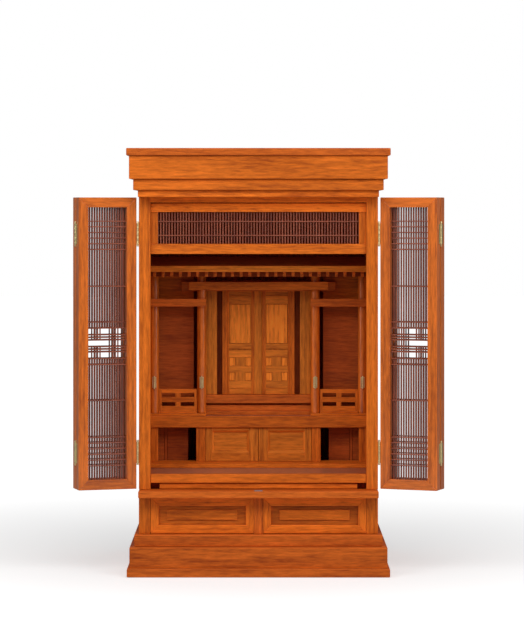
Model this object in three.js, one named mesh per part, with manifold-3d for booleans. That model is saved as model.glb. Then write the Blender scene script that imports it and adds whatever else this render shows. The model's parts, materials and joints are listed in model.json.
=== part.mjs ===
// Household altar cabinet: a table-top wooden case with folding lattice doors, an inner shrine
// behind a pillared porch, a pull-out tray and two drawers, on a stepped plinth.
//
// Millimetres, +X to the right, +Z up, the front faces -Y. The origin is the middle of the underside.
// Inside the cabinet group, y = 0 is the front plane of the face frame and y grows into the case.

import * as THREE from 'three';
import { mergeVertices } from 'three/addons/utils/BufferGeometryUtils.js';
import Module from 'manifold-3d';

const wasm = await Module();
wasm.setup();

// ---------------------------------------------------------------- driving dimensions
const GAP = 0.3; // between pieces that touch
const BITE = 1; // how far one glued member runs into another in a joined piece

const BODY_HALF = 210; // half the width of the case
const BODY_BACK = 335; // depth of the case behind the face frame
const WALL = 11; // side walls
const BACK_WALL = 8;
const INNER_HALF = BODY_HALF - WALL; // half the width inside the case
const INNER_BACK = BODY_BACK - BACK_WALL;
const FRAME_DEPTH = 20; // face frame, front to back
const STILE = 20.3; // face-frame stile width
const MOUTH_HALF = BODY_HALF - STILE; // half the width between the stiles

const LEVEL = { // heights above the underside
  skirtTop: 14.2,
  stepTop: 50.2,
  plinthTop: 70.2,
  waistBottom: 135.3,
  waistTop: 147.5,
  floorBottom: 159.3,
  floorTop: 174.2,
  thresholdTop: 181.5,
  beamBottom: 243.4,
  platformTop: 264.2,
  baySillTop: 268.8,
  shrineFloorBottom: 286.2,
  shrineFloorTop: 300.8,
  shrineTop: 507.2,
  eaveBottom: 526.8,
  eaveTop: 537.6,
  transomBottom: 561.3,
  headerBottom: 651.8,
  corniceBottom: 661.3,
  ledgeTop: 673.2,
  bandTop: 692.5,
  friezeTop: 733.4,
  top: 746.4,
};

const JUT = { // how far each band stands out [past the case side, in front of the face frame]
  topBoard: [20, 49.5],
  frieze: [15.3, 45],
  band: [8.3, 38],
  ledge: [0.5, 30],
  waist: [0, 30],
  plinthStep: [7.5, 19],
  plinthBody: [15, 36],
  plinthSkirt: [19, 49.5],
};

const LEAF = { // one leaf of a folding door
  thick: 20,
  member: 17.5,
  bottom: 149,
  top: 660.6,
  fromFrame: 0.5, // inner face of a shut leaf to the face frame
  foldGap: 1.6, // end to end, at the fold
  meeting: 0.6, // from a centre leaf's free end to the middle of the case
};
const LATTICE = { strip: 2.2, bar: 1.8, stripThick: 2.4, barThick: 1.8, rim: 1, set: 7 };
const HINGE = { radius: 1.75, offset: 1.9, length: 44, plate: 0.8, inset: 42, reach: 11, short: 3 };
const OPEN = { left: 163, right: 158.5 }; // degrees that each pair of leaves stands open

const PORCH = { // pillars and beams in front of the shrine
  pillarRadius: 8.2,
  pillarY: 178,
  outerX: 189.5,
  innerX: 103.4,
  beamFront: 161.5,
  beamThick: 8,
};
const SHRINE = { half: 96.2, front: 196, back: 300, doorHalf: 56.5, doorTop: 490, doorThick: 8 };
const PLATFORM = { beam: [165, 175], bottom: 254 };
const LOWER = {
  front: 169,
  postInner: 96.9,
  postOuter: 113.1,
  wallPost: 182.5,
  postDepth: 15,
  doorThick: 12,
};

const TONE = { // colour, roughness and metalness of each finish
  amber: [0xc8651c, 0.35, 0],
  russet: [0xa9481a, 0.38, 0],
  honey: [0xcf8230, 0.42, 0],
  brown: [0x8a4a20, 0.5, 0],
  brass: [0xe0c070, 0.3, 0.9],
  steel: [0x50505a, 0.35, 0.9],
};

// ---------------------------------------------------------------- solids
function toSolid(geometry) {
  const bare = geometry.clone();
  bare.deleteAttribute('normal');
  bare.deleteAttribute('uv');
  const merged = mergeVertices(bare, 1e-4);
  const vertProperties = Float32Array.from(merged.attributes.position.array);
  const triVerts = Uint32Array.from(merged.index.array);
  return new wasm.Manifold(new wasm.Mesh({ numProp: 3, vertProperties, triVerts }));
}

function toGeometry(solid) {
  const mesh = solid.getMesh();
  const geometry = new THREE.BufferGeometry();
  geometry.setAttribute('position', new THREE.BufferAttribute(mesh.vertProperties, 3));
  geometry.setIndex(new THREE.BufferAttribute(mesh.triVerts, 1));
  geometry.computeVertexNormals();
  return geometry;
}

function join(...geometries) {
  return toGeometry(geometries.map(toSolid).reduce((sum, next) => sum.add(next)));
}

function cut(geometry, ...tools) {
  return toGeometry(tools.map(toSolid).reduce((rest, tool) => rest.subtract(tool), toSolid(geometry)));
}

const through = (limits) => [limits[0] - 1, limits[1] + 1]; // for tools that cut right through

// Distance from strip to strip where a sheet of this width has so many slots and a rim.
const latticePitch = (width, count) => (width - 2 * LATTICE.rim + LATTICE.strip) / count;

// The slots of a lattice sheet, which leave its upright strips standing.
function latticeSlots(edge, away, width, count, z, y) {
  const pitch = latticePitch(width, count);
  return Array.from({ length: count }, (_, i) => {
    const near = edge + away * (LATTICE.rim + i * pitch);
    return block([near, near + away * (pitch - LATTICE.strip)], through(y),
      [z[0] + LATTICE.rim, z[1] - LATTICE.rim]);
  });
}

// A box between two limits on each axis, given in any order.
function block(x, y, z) {
  const [low, high] = [[0, 1], [1, 0]].map(([a, b]) => [x, y, z].map((p) => (
    a < b ? Math.min(p[0], p[1]) : Math.max(p[0], p[1]))));
  const geometry = new THREE.BoxGeometry(...high.map((value, i) => value - low[i]));
  return geometry.translate(...high.map((value, i) => (value + low[i]) / 2));
}

function extrude(outline, holes, length) {
  const shape = new THREE.Shape(outline.map(([a, b]) => new THREE.Vector2(a, b)));
  shape.holes = holes.map((hole) => new THREE.Path(hole.map(([a, b]) => new THREE.Vector2(a, b))));
  return new THREE.ExtrudeGeometry(shape, { depth: length, bevelEnabled: false });
}

// An outline in plan (x, y), raised from one height to another.
function raised(outline, z, holes = []) {
  return extrude(outline, holes, z[1] - z[0]).translate(0, 0, z[0]);
}

// An outline seen from the front (x, z), running from one depth to another.
function fronted(outline, y, holes = []) {
  return extrude(outline, holes, y[1] - y[0]).rotateX(Math.PI / 2).translate(0, y[1], 0);
}

// A side profile (y, z), running from one x to another.
function moulded(profile, x) {
  const turn = new THREE.Matrix4().makeBasis(
    new THREE.Vector3(0, 1, 0), new THREE.Vector3(0, 0, 1), new THREE.Vector3(1, 0, 0));
  return extrude(profile, [], x[1] - x[0]).applyMatrix4(turn).translate(x[0], 0, 0);
}

function upright(radius, x, y, z, sides = 24) {
  const geometry = new THREE.CylinderGeometry(radius, radius, z[1] - z[0], sides);
  return geometry.rotateX(Math.PI / 2).translate(x, y, (z[0] + z[1]) / 2);
}

const rectangle = (a, b) => [[a[0], b[0]], [a[1], b[0]], [a[1], b[1]], [a[0], b[1]]];
const wide = (half) => [-half, half];
const sided = (side, near, far) => (side < 0 ? [-far, -near] : [near, far]);

function piece(parent, name, geometry, [color, roughness, metalness]) {
  const mesh = new THREE.Mesh(geometry, new THREE.MeshStandardMaterial({ color, roughness, metalness }));
  mesh.name = name;
  parent.add(mesh);
  return mesh;
}

// ---------------------------------------------------------------- case
const cabinet = new THREE.Group();
cabinet.position.y = -(BODY_BACK - JUT.plinthSkirt[1]) / 2;
const SIDES = [['left', -1], ['right', 1]];

const BASE_BOARD = 6; // thickness of the underside board

function addPlinth() {
  const well = rectangle(wide(MOUTH_HALF), [FRAME_DEPTH, BODY_BACK - FRAME_DEPTH]);
  const ring = ([side, front], z) => raised(
    rectangle(wide(BODY_HALF + side), [-front, BODY_BACK]), z, [well]);
  const { skirtTop, stepTop, plinthTop } = LEVEL;
  piece(cabinet, 'plinth_lower',
    join(ring(JUT.plinthSkirt, [0, skirtTop]), ring(JUT.plinthBody, [skirtTop - BITE, stepTop])),
    TONE.russet);
  piece(cabinet, 'plinth_upper', ring(JUT.plinthStep, [stepTop + GAP, plinthTop]), TONE.russet);
  piece(cabinet, 'base_board', block(wide(MOUTH_HALF - GAP),
    [FRAME_DEPTH + GAP, BODY_BACK - FRAME_DEPTH - GAP], [0, BASE_BOARD]), TONE.brown);
}

const MIDDLE_POST = 7.6; // half width of the post between the drawers
const DIVIDER = 4; // half thickness of the board behind that post
const CASE_FLOOR = 4;

function addDrawerCase() {
  const z = [LEVEL.plinthTop + GAP, LEVEL.waistBottom - GAP];
  const half = [
    [0, BODY_BACK], [BODY_HALF, BODY_BACK], [BODY_HALF, 0], [MOUTH_HALF, 0],
    [MOUTH_HALF, FRAME_DEPTH], [INNER_HALF, FRAME_DEPTH], [INNER_HALF, INNER_BACK],
    [DIVIDER, INNER_BACK], [DIVIDER, FRAME_DEPTH], [MIDDLE_POST, FRAME_DEPTH], [MIDDLE_POST, 0],
  ];
  const walls = raised([...half.slice(1), ...half.slice(1).reverse().map(([x, y]) => [-x, y])], z);
  const floor = block(wide(BODY_HALF - BITE), [FRAME_DEPTH - BITE, BODY_BACK - BITE],
    [z[0], z[0] + CASE_FLOOR]);
  piece(cabinet, 'drawer_case', join(walls, floor), TONE.russet);
}

const CATCH = { half: 7, y: [-28, -18], thick: 0.8 }; // strike plate for the shut doors

function addWaist() {
  const { waistBottom, waistTop } = LEVEL;
  const [side, front] = JUT.waist;
  piece(cabinet, 'waist_board', block(wide(BODY_HALF + side), [-front, BODY_BACK],
    [waistBottom, waistTop]), TONE.russet);
  piece(cabinet, 'catch_plate', block(wide(CATCH.half), CATCH.y,
    [waistTop + GAP, waistTop + GAP + CATCH.thick]), TONE.steel);
}

function addWalls() {
  const z = [LEVEL.waistTop + GAP, LEVEL.friezeTop - GAP];
  for (const [word, side] of SIDES) {
    piece(cabinet, `side_wall_${word}`, block(sided(side, INNER_HALF, BODY_HALF),
      [FRAME_DEPTH + GAP, INNER_BACK - GAP], z), TONE.amber);
  }
  piece(cabinet, 'back_wall', block(wide(BODY_HALF), [INNER_BACK, BODY_BACK], z), TONE.brown);
  const frame = [
    [-BODY_HALF, z[0]], [-MOUTH_HALF, z[0]], [-MOUTH_HALF, LEVEL.headerBottom],
    [MOUTH_HALF, LEVEL.headerBottom], [MOUTH_HALF, z[0]], [BODY_HALF, z[0]],
    [BODY_HALF, z[1]], [-BODY_HALF, z[1]],
  ];
  piece(cabinet, 'face_frame', fronted(frame, [0, FRAME_DEPTH]), TONE.amber);
}

function addCornice() {
  const inside = BODY_HALF + GAP;
  const around = ([side, front], z) => {
    const outside = BODY_HALF + side;
    return raised([
      [-outside, BODY_BACK], [-outside, -front], [outside, -front], [outside, BODY_BACK],
      [inside, BODY_BACK], [inside, -GAP], [-inside, -GAP], [-inside, BODY_BACK],
    ], z);
  };
  const { corniceBottom, ledgeTop, bandTop, friezeTop, top } = LEVEL;
  const [ledgeSide, ledgeFront] = JUT.ledge;
  const ledge = block(wide(BODY_HALF + ledgeSide), [-ledgeFront, -GAP], [corniceBottom, ledgeTop + BITE]);
  piece(cabinet, 'cornice_moulding', join(ledge, around(JUT.band, [ledgeTop, bandTop])), TONE.amber);
  piece(cabinet, 'frieze', around(JUT.frieze, [bandTop + GAP, friezeTop - GAP]), TONE.amber);
  const [side, front] = JUT.topBoard;
  piece(cabinet, 'top_board', block(wide(BODY_HALF + side), [-front, BODY_BACK], [friezeTop, top]),
    TONE.russet);
}

// ---------------------------------------------------------------- transom
const TRANSOM = { set: 6, thick: 12, top: 650.1, topRail: 15, bottomRail: 17.7, stile: 12.4, slots: 71 };
const TRANSOM_BARS = [593.8, 618.4]; // heights of the two level bars

function addTransom() {
  const x = wide(MOUTH_HALF - GAP);
  const open = wide(x[1] - TRANSOM.stile);
  const z = [LEVEL.transomBottom + TRANSOM.bottomRail, TRANSOM.top - TRANSOM.topRail];
  const frame = fronted(rectangle(x, [LEVEL.transomBottom, TRANSOM.top]),
    [TRANSOM.set, TRANSOM.set + TRANSOM.thick], [rectangle(open, z)]);
  const barY = [TRANSOM.set + 2, TRANSOM.set + 2 + LATTICE.barThick];
  const bars = TRANSOM_BARS.map((middle) => block([open[0] - BITE, open[1] + BITE], barY,
    [middle - LATTICE.bar / 2, middle + LATTICE.bar / 2]));
  piece(cabinet, 'transom_frame', join(frame, ...bars), TONE.amber);

  const outer = wide(open[1] - GAP);
  const height = [z[0] + GAP, z[1] - GAP];
  const stripY = [barY[1] + GAP, barY[1] + GAP + LATTICE.stripThick];
  const slots = latticeSlots(outer[0], 1, outer[1] * 2, TRANSOM.slots, height, stripY);
  piece(cabinet, 'transom_strips', cut(block(outer, stripY, height), ...slots), TONE.russet);
}

// ---------------------------------------------------------------- eave and porch
const EAVE = { front: 130, back: 205, rise: 15.5, rafters: 25, pitch: 15.65, rafter: 5.4, drop: 8.5 };

function addEave() {
  const { eaveBottom, eaveTop } = LEVEL;
  const x = wide(INNER_HALF - GAP);
  piece(cabinet, 'eave_board', moulded([
    [EAVE.front, eaveBottom], [EAVE.back, eaveBottom],
    [EAVE.back, eaveTop + EAVE.rise], [EAVE.front, eaveTop],
  ], x), TONE.honey);

  // The rafter ends stand forward like teeth from one beam across the case.
  const tooth = [EAVE.front + 3, EAVE.front + 24];
  const outline = [[x[1], tooth[1] + 8], [x[0], tooth[1] + 8], [x[0], tooth[1]]];
  for (let i = 0; i < EAVE.rafters; i += 1) {
    const middle = (i - (EAVE.rafters - 1) / 2) * EAVE.pitch;
    const [left, right] = [middle - EAVE.rafter / 2, middle + EAVE.rafter / 2];
    outline.push([left, tooth[1]], [left, tooth[0]], [right, tooth[0]], [right, tooth[1]]);
  }
  outline.push([x[1], tooth[1]]);
  piece(cabinet, 'eave_rafters',
    raised(outline, [eaveBottom - GAP - EAVE.drop, eaveBottom - GAP]), TONE.russet);
}

const LINTEL = { half: 126.2, bottom: 493.4, top: 507.9 };
const TIE = { bottom: 463.4, top: 477, past: 8.2 };

function addPorch() {
  const z = [LEVEL.baySillTop + GAP, LEVEL.eaveBottom - GAP];
  const beamY = [PORCH.beamFront, PORCH.beamFront + PORCH.beamThick];
  for (const [word, side] of SIDES) {
    piece(cabinet, `outer_pillar_${word}`,
      upright(PORCH.pillarRadius, side * PORCH.outerX, PORCH.pillarY, z), TONE.amber);
    piece(cabinet, `inner_pillar_${word}`,
      upright(PORCH.pillarRadius, side * PORCH.innerX, PORCH.pillarY, z), TONE.amber);
    piece(cabinet, `tie_beam_${word}`, block(sided(side, PORCH.innerX - TIE.past, INNER_HALF - GAP),
      beamY, [TIE.bottom, TIE.top]), TONE.russet);
  }
  piece(cabinet, 'lintel', block(wide(LINTEL.half), beamY, [LINTEL.bottom, LINTEL.top]), TONE.amber);
}

const BAY = { near: 118.4, y: [200, 204] }; // panel at the back of each bay
const FENCE = { top: 312.5, near: 112, far: 181, y: [175, 181], sill: [166.5, 187.5] };
const FENCE_SLOT = { width: 25, height: 7.3, fromMiddle: 4.6, bottoms: [281.6, 298] };

function addBays() {
  for (const [word, side] of SIDES) {
    const sill = block(sided(side, PORCH.innerX - PORCH.pillarRadius - GAP, INNER_HALF - GAP),
      FENCE.sill, [LEVEL.platformTop + GAP, LEVEL.baySillTop]);
    const panel = block(sided(side, FENCE.near, FENCE.far), FENCE.y, [LEVEL.baySillTop - BITE, FENCE.top]);
    const middle = side * (FENCE.near + FENCE.far) / 2;
    const slots = [];
    for (const way of [-1, 1]) {
      for (const bottom of FENCE_SLOT.bottoms) {
        const near = middle + way * FENCE_SLOT.fromMiddle;
        slots.push(block([near, near + way * FENCE_SLOT.width], [FENCE.y[0] - 1, FENCE.y[1] + 1],
          [bottom, bottom + FENCE_SLOT.height]));
      }
    }
    piece(cabinet, `fence_${word}`, cut(join(sill, panel), ...slots), TONE.amber);
    piece(cabinet, `bay_panel_${word}`, block(sided(side, BAY.near, INNER_HALF - GAP), BAY.y,
      [LEVEL.platformTop + GAP, LEVEL.eaveBottom - GAP]), TONE.brown);
  }
}

// ---------------------------------------------------------------- platform and lower front
function addPlatform() {
  const x = wide(INNER_HALF - GAP);
  const { beamBottom, platformTop } = LEVEL;
  const { beam, bottom } = PLATFORM;
  piece(cabinet, 'platform_beam', block(x, beam, [beamBottom, platformTop]), TONE.amber);
  piece(cabinet, 'platform', block(x, [beam[1] + GAP, INNER_BACK - GAP], [bottom, platformTop]),
    TONE.honey);
}

const FLOOR_NOSE = 2; // front edge of the floor behind the face frame
const THRESHOLD = [118, 192];
const RUNNER = { clear: 1.3, front: 2, back: 20 }; // strips that the tray slides between

function addFloor() {
  const { waistTop, floorBottom, floorTop, thresholdTop, beamBottom } = LEVEL;
  const inner = INNER_HALF - GAP;
  const mouth = MOUTH_HALF - GAP;
  const behind = FRAME_DEPTH + GAP;
  const board = raised([
    [-mouth, FLOOR_NOSE], [mouth, FLOOR_NOSE], [mouth, behind], [inner, behind], [inner, INNER_BACK - GAP],
    [-inner, INNER_BACK - GAP], [-inner, behind], [-mouth, behind],
  ], [floorBottom, floorTop]);
  const runners = SIDES.map(([, side]) => block(sided(side, TRAY.half + RUNNER.clear, mouth),
    [behind + RUNNER.front, INNER_BACK - RUNNER.back], [waistTop + GAP, floorBottom + BITE]));
  piece(cabinet, 'floor_board', join(board, ...runners), TONE.amber);

  const postY = [LOWER.front, LOWER.front + LOWER.postDepth];
  const postZ = [thresholdTop - BITE, beamBottom - GAP];
  const posts = SIDES.flatMap(([, side]) => [
    block(sided(side, LOWER.postInner, LOWER.postOuter), postY, postZ),
    block(sided(side, LOWER.wallPost, inner), postY, postZ),
  ]);
  const threshold = block(wide(inner), THRESHOLD, [floorTop + GAP, thresholdTop]);
  piece(cabinet, 'lower_front_frame', join(threshold, ...posts), TONE.amber);
}

const LOWER_PANEL = { near: 128.5, y: [196, 200], bead: 4, line: 1, beadIn: 14 };

function addLowerPanels() {
  for (const [word, side] of SIDES) {
    const x = sided(side, LOWER_PANEL.near, INNER_HALF - GAP);
    const z = [LEVEL.floorTop + GAP, PLATFORM.bottom - GAP];
    const board = block(x, LOWER_PANEL.y, z);
    const beadX = side * (LOWER.wallPost - LOWER_PANEL.beadIn);
    const bead = block([beadX, beadX + side * LOWER_PANEL.bead],
      [LOWER_PANEL.y[0] - LOWER_PANEL.line, LOWER_PANEL.y[0] + 1], z);
    piece(cabinet, `lower_panel_${word}`, join(board, bead), TONE.brown);
  }
}

// A leaf cut back around sunk fields, each given as [x limits, z limits, depth].
function relieved(x, y, z, fields) {
  const front = y[0];
  const tools = fields.map(([fx, fz, depth]) => block(fx, [front - 1, front + depth], fz));
  return cut(block(x, y, z), ...tools);
}

const RUN_CLEAR = 0.5; // round a door or drawer
const LOWER_DOOR = { set: 1.5, meeting: 17, outer: 12, bottom: 16, top: 5.5, sunk: 5 };

function addLowerDoors() {
  const { set, meeting, outer, bottom, top, sunk } = LOWER_DOOR;
  const y = [LOWER.front + set, LOWER.front + set + LOWER.doorThick];
  const z = [LEVEL.thresholdTop + RUN_CLEAR, LEVEL.beamBottom - RUN_CLEAR];
  const [near, far] = [RUN_CLEAR, LOWER.postInner - RUN_CLEAR];
  for (const [word, side] of SIDES) {
    const field = [sided(side, near + meeting, far - outer), [z[0] + bottom, z[1] - top], sunk];
    piece(cabinet, `lower_door_${word}`, relieved(sided(side, near, far), y, z, [field]), TONE.honey);
  }
}

// ---------------------------------------------------------------- inner shrine
// Steps up to the shrine floor: front edge and top of each, above the platform.
const STEPS = [[188.3, 271.7], [195, 282.3], [203, LEVEL.shrineFloorBottom - GAP]];
const STEPS_BACK = 230;
const SHRINE_WALL = { floorFront: 188, thick: 5, board: 20.3, boardDepth: 6, post: 9.5 };
const SHRINE_BEAM = { half: 140.3, jut: 8.5 };
const SHRINE_HEAD = { depth: 11, roof: 7 };
const RECESS = { set: 7, depth: 26, lining: 4 }; // beside the shrine doors

function addShrine() {
  const { platformTop, shrineFloorBottom, shrineFloorTop, shrineTop } = LEVEL;
  const { half, front, back, doorHalf, doorTop } = SHRINE;
  piece(cabinet, 'shrine_floor', block(wide(half), [SHRINE_WALL.floorFront, back],
    [shrineFloorBottom, shrineFloorTop]),
    TONE.russet);
  const foot = platformTop + GAP;
  const rise = STEPS.flatMap(([y, top], i) => [[y, i ? STEPS[i - 1][1] : foot], [y, top]]);
  piece(cabinet, 'shrine_steps', moulded([
    [STEPS_BACK, foot], [STEPS_BACK, STEPS[2][1]], ...rise.reverse(),
  ], wide(half)), TONE.russet);

  // Plan of one half of the case: side wall, front board, recess, door post and the way in.
  const inside = half - SHRINE_WALL.thick;
  const post = doorHalf + SHRINE_WALL.post;
  const board = half - SHRINE_WALL.board;
  const boardBack = front + SHRINE_WALL.boardDepth;
  const lining = front + RECESS.depth + RECESS.lining;
  const plan = [
    [half, back], [half, front], [board, front], [board, boardBack], [inside, boardBack],
    [inside, front + RECESS.depth], [post, front + RECESS.depth], [post, front + RECESS.set],
    [doorHalf + GAP, front + RECESS.set], [doorHalf + GAP, lining], [inside, lining],
    [inside, back - SHRINE_WALL.thick],
  ];
  const z = [shrineFloorTop + GAP, shrineTop];
  const walls = raised([...plan, ...plan.slice().reverse().map(([x, y]) => [-x, y])], z);
  const roof = block(wide(half - BITE), [front, back - BITE], [shrineTop - SHRINE_HEAD.roof, shrineTop]);
  const head = block(wide(post - BITE), [front + RECESS.set, front + RECESS.set + SHRINE_HEAD.depth],
    [doorTop + 2 * RUN_CLEAR, shrineTop - BITE]);
  const beam = block(wide(SHRINE_BEAM.half), [front - SHRINE_BEAM.jut, front + BITE],
    [doorTop + RUN_CLEAR, shrineTop]);
  piece(cabinet, 'shrine_case', join(walls, roof, head, beam), TONE.honey);
}

const SHRINE_MEET = 6; // the left leaf's meeting stile runs past the middle
const SHRINE_CLEAR = 0.8; // lets the edges of the two leaves swing past each other
const SHRINE_LEAF_RAILS = [ // sunk bands of a shrine door, bottom and top of each
  [LEVEL.shrineFloorTop + 1.4, 312.6], [381.6, 384.6], [393.6, 466.6], [481.2, 489],
];
const SHRINE_SQUARES = [[325.3, 341.7], [352.6, 369]];
const SHRINE_RELIEF = { sunk: 2.5, square: 11.4, set: 9 };
const SHRINE_FIELDS = { left: [-53.6, -13.2], right: [13.4, 53.6] };

function addShrineDoors() {
  const { front, doorHalf, doorTop, doorThick } = SHRINE;
  const { sunk, square, set } = SHRINE_RELIEF;
  const y = [front + set, front + set + doorThick];
  const z = [LEVEL.shrineFloorTop + RUN_CLEAR, doorTop];
  const leaves = [['left', -doorHalf, SHRINE_MEET], ['right', SHRINE_MEET + SHRINE_CLEAR, doorHalf]];
  for (const [word, near, far] of leaves) {
    const field = SHRINE_FIELDS[word];
    const bands = SHRINE_LEAF_RAILS.map((band) => [field, band, sunk]);
    const squares = SHRINE_SQUARES.flatMap((rows) => [
      [[field[0], field[0] + square], rows, sunk],
      [[field[1] - square, field[1]], rows, sunk],
    ]);
    piece(cabinet, `shrine_door_${word}`, relieved([near, far], y, z, [...bands, ...squares]),
      TONE.honey);
  }
}

// ---------------------------------------------------------------- tray and drawers
const TRAY = { half: 173.7, z: [148.8, 157.9], front: 6, back: 300 };

function addTray() {
  piece(cabinet, 'tray', block(wide(TRAY.half), [TRAY.front, TRAY.back], TRAY.z), TONE.amber);
}

const DRAWER = { front: 16, side: 8, bottom: 4, back: 300, boxTop: 124, boxIn: 2 };
// Relief of a drawer front: how far in from each edge the sunk and the raised field start.
const SUNK_FIELD = { ends: 14, bottom: 14.5, top: 15.5, depth: 5 };
const RAISED_FIELD = { ends: 26.5, bottom: 23.1, top: 22.8, depth: 2 };

function addDrawers() {
  const clear = GAP + RUN_CLEAR;
  const z = [LEVEL.plinthTop + clear, LEVEL.waistBottom - clear];
  const boxZ = [LEVEL.plinthTop + GAP + CASE_FLOOR + RUN_CLEAR, DRAWER.boxTop];
  for (const [word, side] of SIDES) {
    const near = MIDDLE_POST + RUN_CLEAR;
    const far = MOUTH_HALF - RUN_CLEAR;
    const inset = (by) => sided(side, near + by, far - by);
    const field = ({ ends, bottom, top }, y) => block(inset(ends), y, [z[0] + bottom, z[1] - top]);
    const sunk = field(SUNK_FIELD, [-1, SUNK_FIELD.depth]);
    const raisedField = field(RAISED_FIELD, [RAISED_FIELD.depth, SUNK_FIELD.depth + BITE]);
    const face = join(cut(block([side * near, side * far], [0, DRAWER.front], z), sunk), raisedField);
    const box = block(inset(DRAWER.boxIn), [DRAWER.front - BITE, DRAWER.back], boxZ);
    const hollow = block(inset(DRAWER.boxIn + DRAWER.side), [DRAWER.front, DRAWER.back - DRAWER.side],
      [boxZ[0] + DRAWER.bottom, DRAWER.boxTop + 1]);
    piece(cabinet, `drawer_${word}`, join(face, cut(box, hollow)), TONE.amber);
  }
}

// ---------------------------------------------------------------- folding lattice doors
const STRIPS = 14; // upright strips of one leaf
// Heights of the level bars, counted from the middle of the leaf: a close row towards each end, a
// single bar, and a band of open squares about the middle.
const BAR_OFFSETS = [
  ...[5.8, 10.4, 15, 26.6, 37.2],
  100,
  ...Array.from({ length: 6 }, (_, i) => 164.6 + 9.9 * i),
];
const BAND_HALF = BAR_OFFSETS[3]; // half height of the band of open squares
const MIDDLE_ROW = BAR_OFFSETS[0]; // half height of its middle row
// Strips counted from the fold: these stop at the band, and these only at its middle row.
const STOPS_AT_BAND = [1, 2, 6, 7, 8, 9, 13, 14];
const STOPS_AT_ROW = [3, 4, 5];

// Upright strips of one leaf in one sheet, with a thin rim. fold is the x where the sheet starts, by
// the fold, and away points from there across the leaf.
function latticeSheet(fold, away, width, z, y) {
  const middle = (z[0] + z[1]) / 2;
  const pitch = latticePitch(width, STRIPS + 1);
  const sheet = block([fold, fold + away * width], y, z);
  const slots = latticeSlots(fold, away, width, STRIPS + 1, z, y);
  const stops = [...STOPS_AT_BAND.map((i) => [i, BAND_HALF]), ...STOPS_AT_ROW.map((i) => [i, MIDDLE_ROW])];
  const breaks = stops.map(([i, half]) => {
    const near = fold + away * (LATTICE.rim + i * pitch - LATTICE.strip);
    return block([near - away * BITE, near + away * (LATTICE.strip + BITE)], through(y),
      [middle - half, middle + half]);
  });
  return cut(sheet, ...slots, ...breaks);
}

// The lattice of one leaf: the sheet of strips, and the level bars before it, which run into a deeper
// rim at each side.
function lattice(fold, away, width, z, barY) {
  const middle = (z[0] + z[1]) / 2;
  const y = [barY[0] - GAP - LATTICE.stripThick, barY[0] - GAP];
  const far = fold + away * width;
  const ends = [[fold, fold + away * LATTICE.rim], [far - away * LATTICE.rim, far]];
  const rims = ends.map((x) => block(x, [y[0], barY[1]], z));
  const inRim = away * LATTICE.rim / 2;
  const bars = BAR_OFFSETS.flatMap((offset) => [-1, 1].map((way) => block([fold + inRim, far - inRim],
    barY, [middle + way * offset - LATTICE.bar / 2, middle + way * offset + LATTICE.bar / 2])));
  return join(latticeSheet(fold, away, width, z, y), ...rims, ...bars);
}

// One leaf, shut: x runs from its edge nearest the case side to its edge nearest the middle.
function addLeaf(group, prefix, x, foldEdge) {
  const { thick, member, bottom, top, fromFrame } = LEAF;
  const y = [-fromFrame - thick, -fromFrame];
  const inward = Math.sign(x[1] - x[0]);
  const open = [x[0] + inward * member, x[1] - inward * member];
  const openZ = [bottom + member, top - member];
  piece(group, `${prefix}_frame`,
    cut(block(x, y, [bottom, top]), block(open, [y[0] - 1, y[1] + 1], openZ)), TONE.amber);

  const away = foldEdge === x[1] ? -inward : inward;
  const start = (foldEdge === x[1] ? open[1] : open[0]) + away * GAP;
  const width = Math.abs(open[1] - open[0]) - 2 * GAP;
  const barY = [y[1] - LATTICE.set - LATTICE.barThick, y[1] - LATTICE.set];
  piece(group, `${prefix}_lattice`,
    lattice(start, away, width, [openZ[0] + GAP, openZ[1] - GAP], barY), TONE.russet);
}

const HINGE_LEVELS = [
  ['upper', LEAF.top - HINGE.inset - HINGE.length],
  ['lower', LEAF.bottom + HINGE.inset],
];

function addFoldingDoor(word, side, degrees) {
  const { thick, fromFrame, foldGap, meeting } = LEAF;
  const fold = side * BODY_HALF / 2;
  const pivot = [side * (BODY_HALF + HINGE.offset), -fromFrame / 2];
  const foldPivot = [fold, -fromFrame - thick - HINGE.offset];

  const swing = new THREE.Group();
  swing.position.set(pivot[0], pivot[1], 0);
  swing.rotation.z = side * THREE.MathUtils.degToRad(degrees);
  cabinet.add(swing);
  const sideLeaf = new THREE.Group();
  sideLeaf.position.set(-pivot[0], -pivot[1], 0);
  swing.add(sideLeaf);
  const outerEnd = fold + side * foldGap / 2;
  addLeaf(sideLeaf, `${word}_side_leaf`, [side * BODY_HALF, outerEnd], outerEnd);

  const turn = new THREE.Group();
  turn.position.set(foldPivot[0], foldPivot[1], 0);
  turn.rotation.z = Math.PI;
  sideLeaf.add(turn);
  const centreLeaf = new THREE.Group();
  centreLeaf.position.set(-foldPivot[0], -foldPivot[1], 0);
  turn.add(centreLeaf);
  const innerEnd = fold - side * foldGap / 2;
  addLeaf(centreLeaf, `${word}_centre_leaf`, [innerEnd, side * meeting], innerEnd);

  for (const [level, z] of HINGE_LEVELS) {
    const height = [z, z + HINGE.length];
    const plateHeight = [z + HINGE.short, z + HINGE.length - HINGE.short];
    const post = upright(HINGE.radius, pivot[0], pivot[1], height, 16);
    const strap = block([side * (BODY_HALF + GAP), side * (BODY_HALF + GAP + HINGE.plate)],
      [pivot[1], HINGE.reach], plateHeight);
    piece(cabinet, `${word}_case_hinge_${level}`, join(post, strap), TONE.brass);
    const barrel = upright(HINGE.radius, foldPivot[0], foldPivot[1], height, 16);
    const plate = block([fold - HINGE.plate / 2, fold + HINGE.plate / 2],
      [foldPivot[1], foldPivot[1] + HINGE.reach], plateHeight);
    piece(sideLeaf, `${word}_fold_hinge_${level}`, join(barrel, plate), TONE.brass);
  }
}

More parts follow.
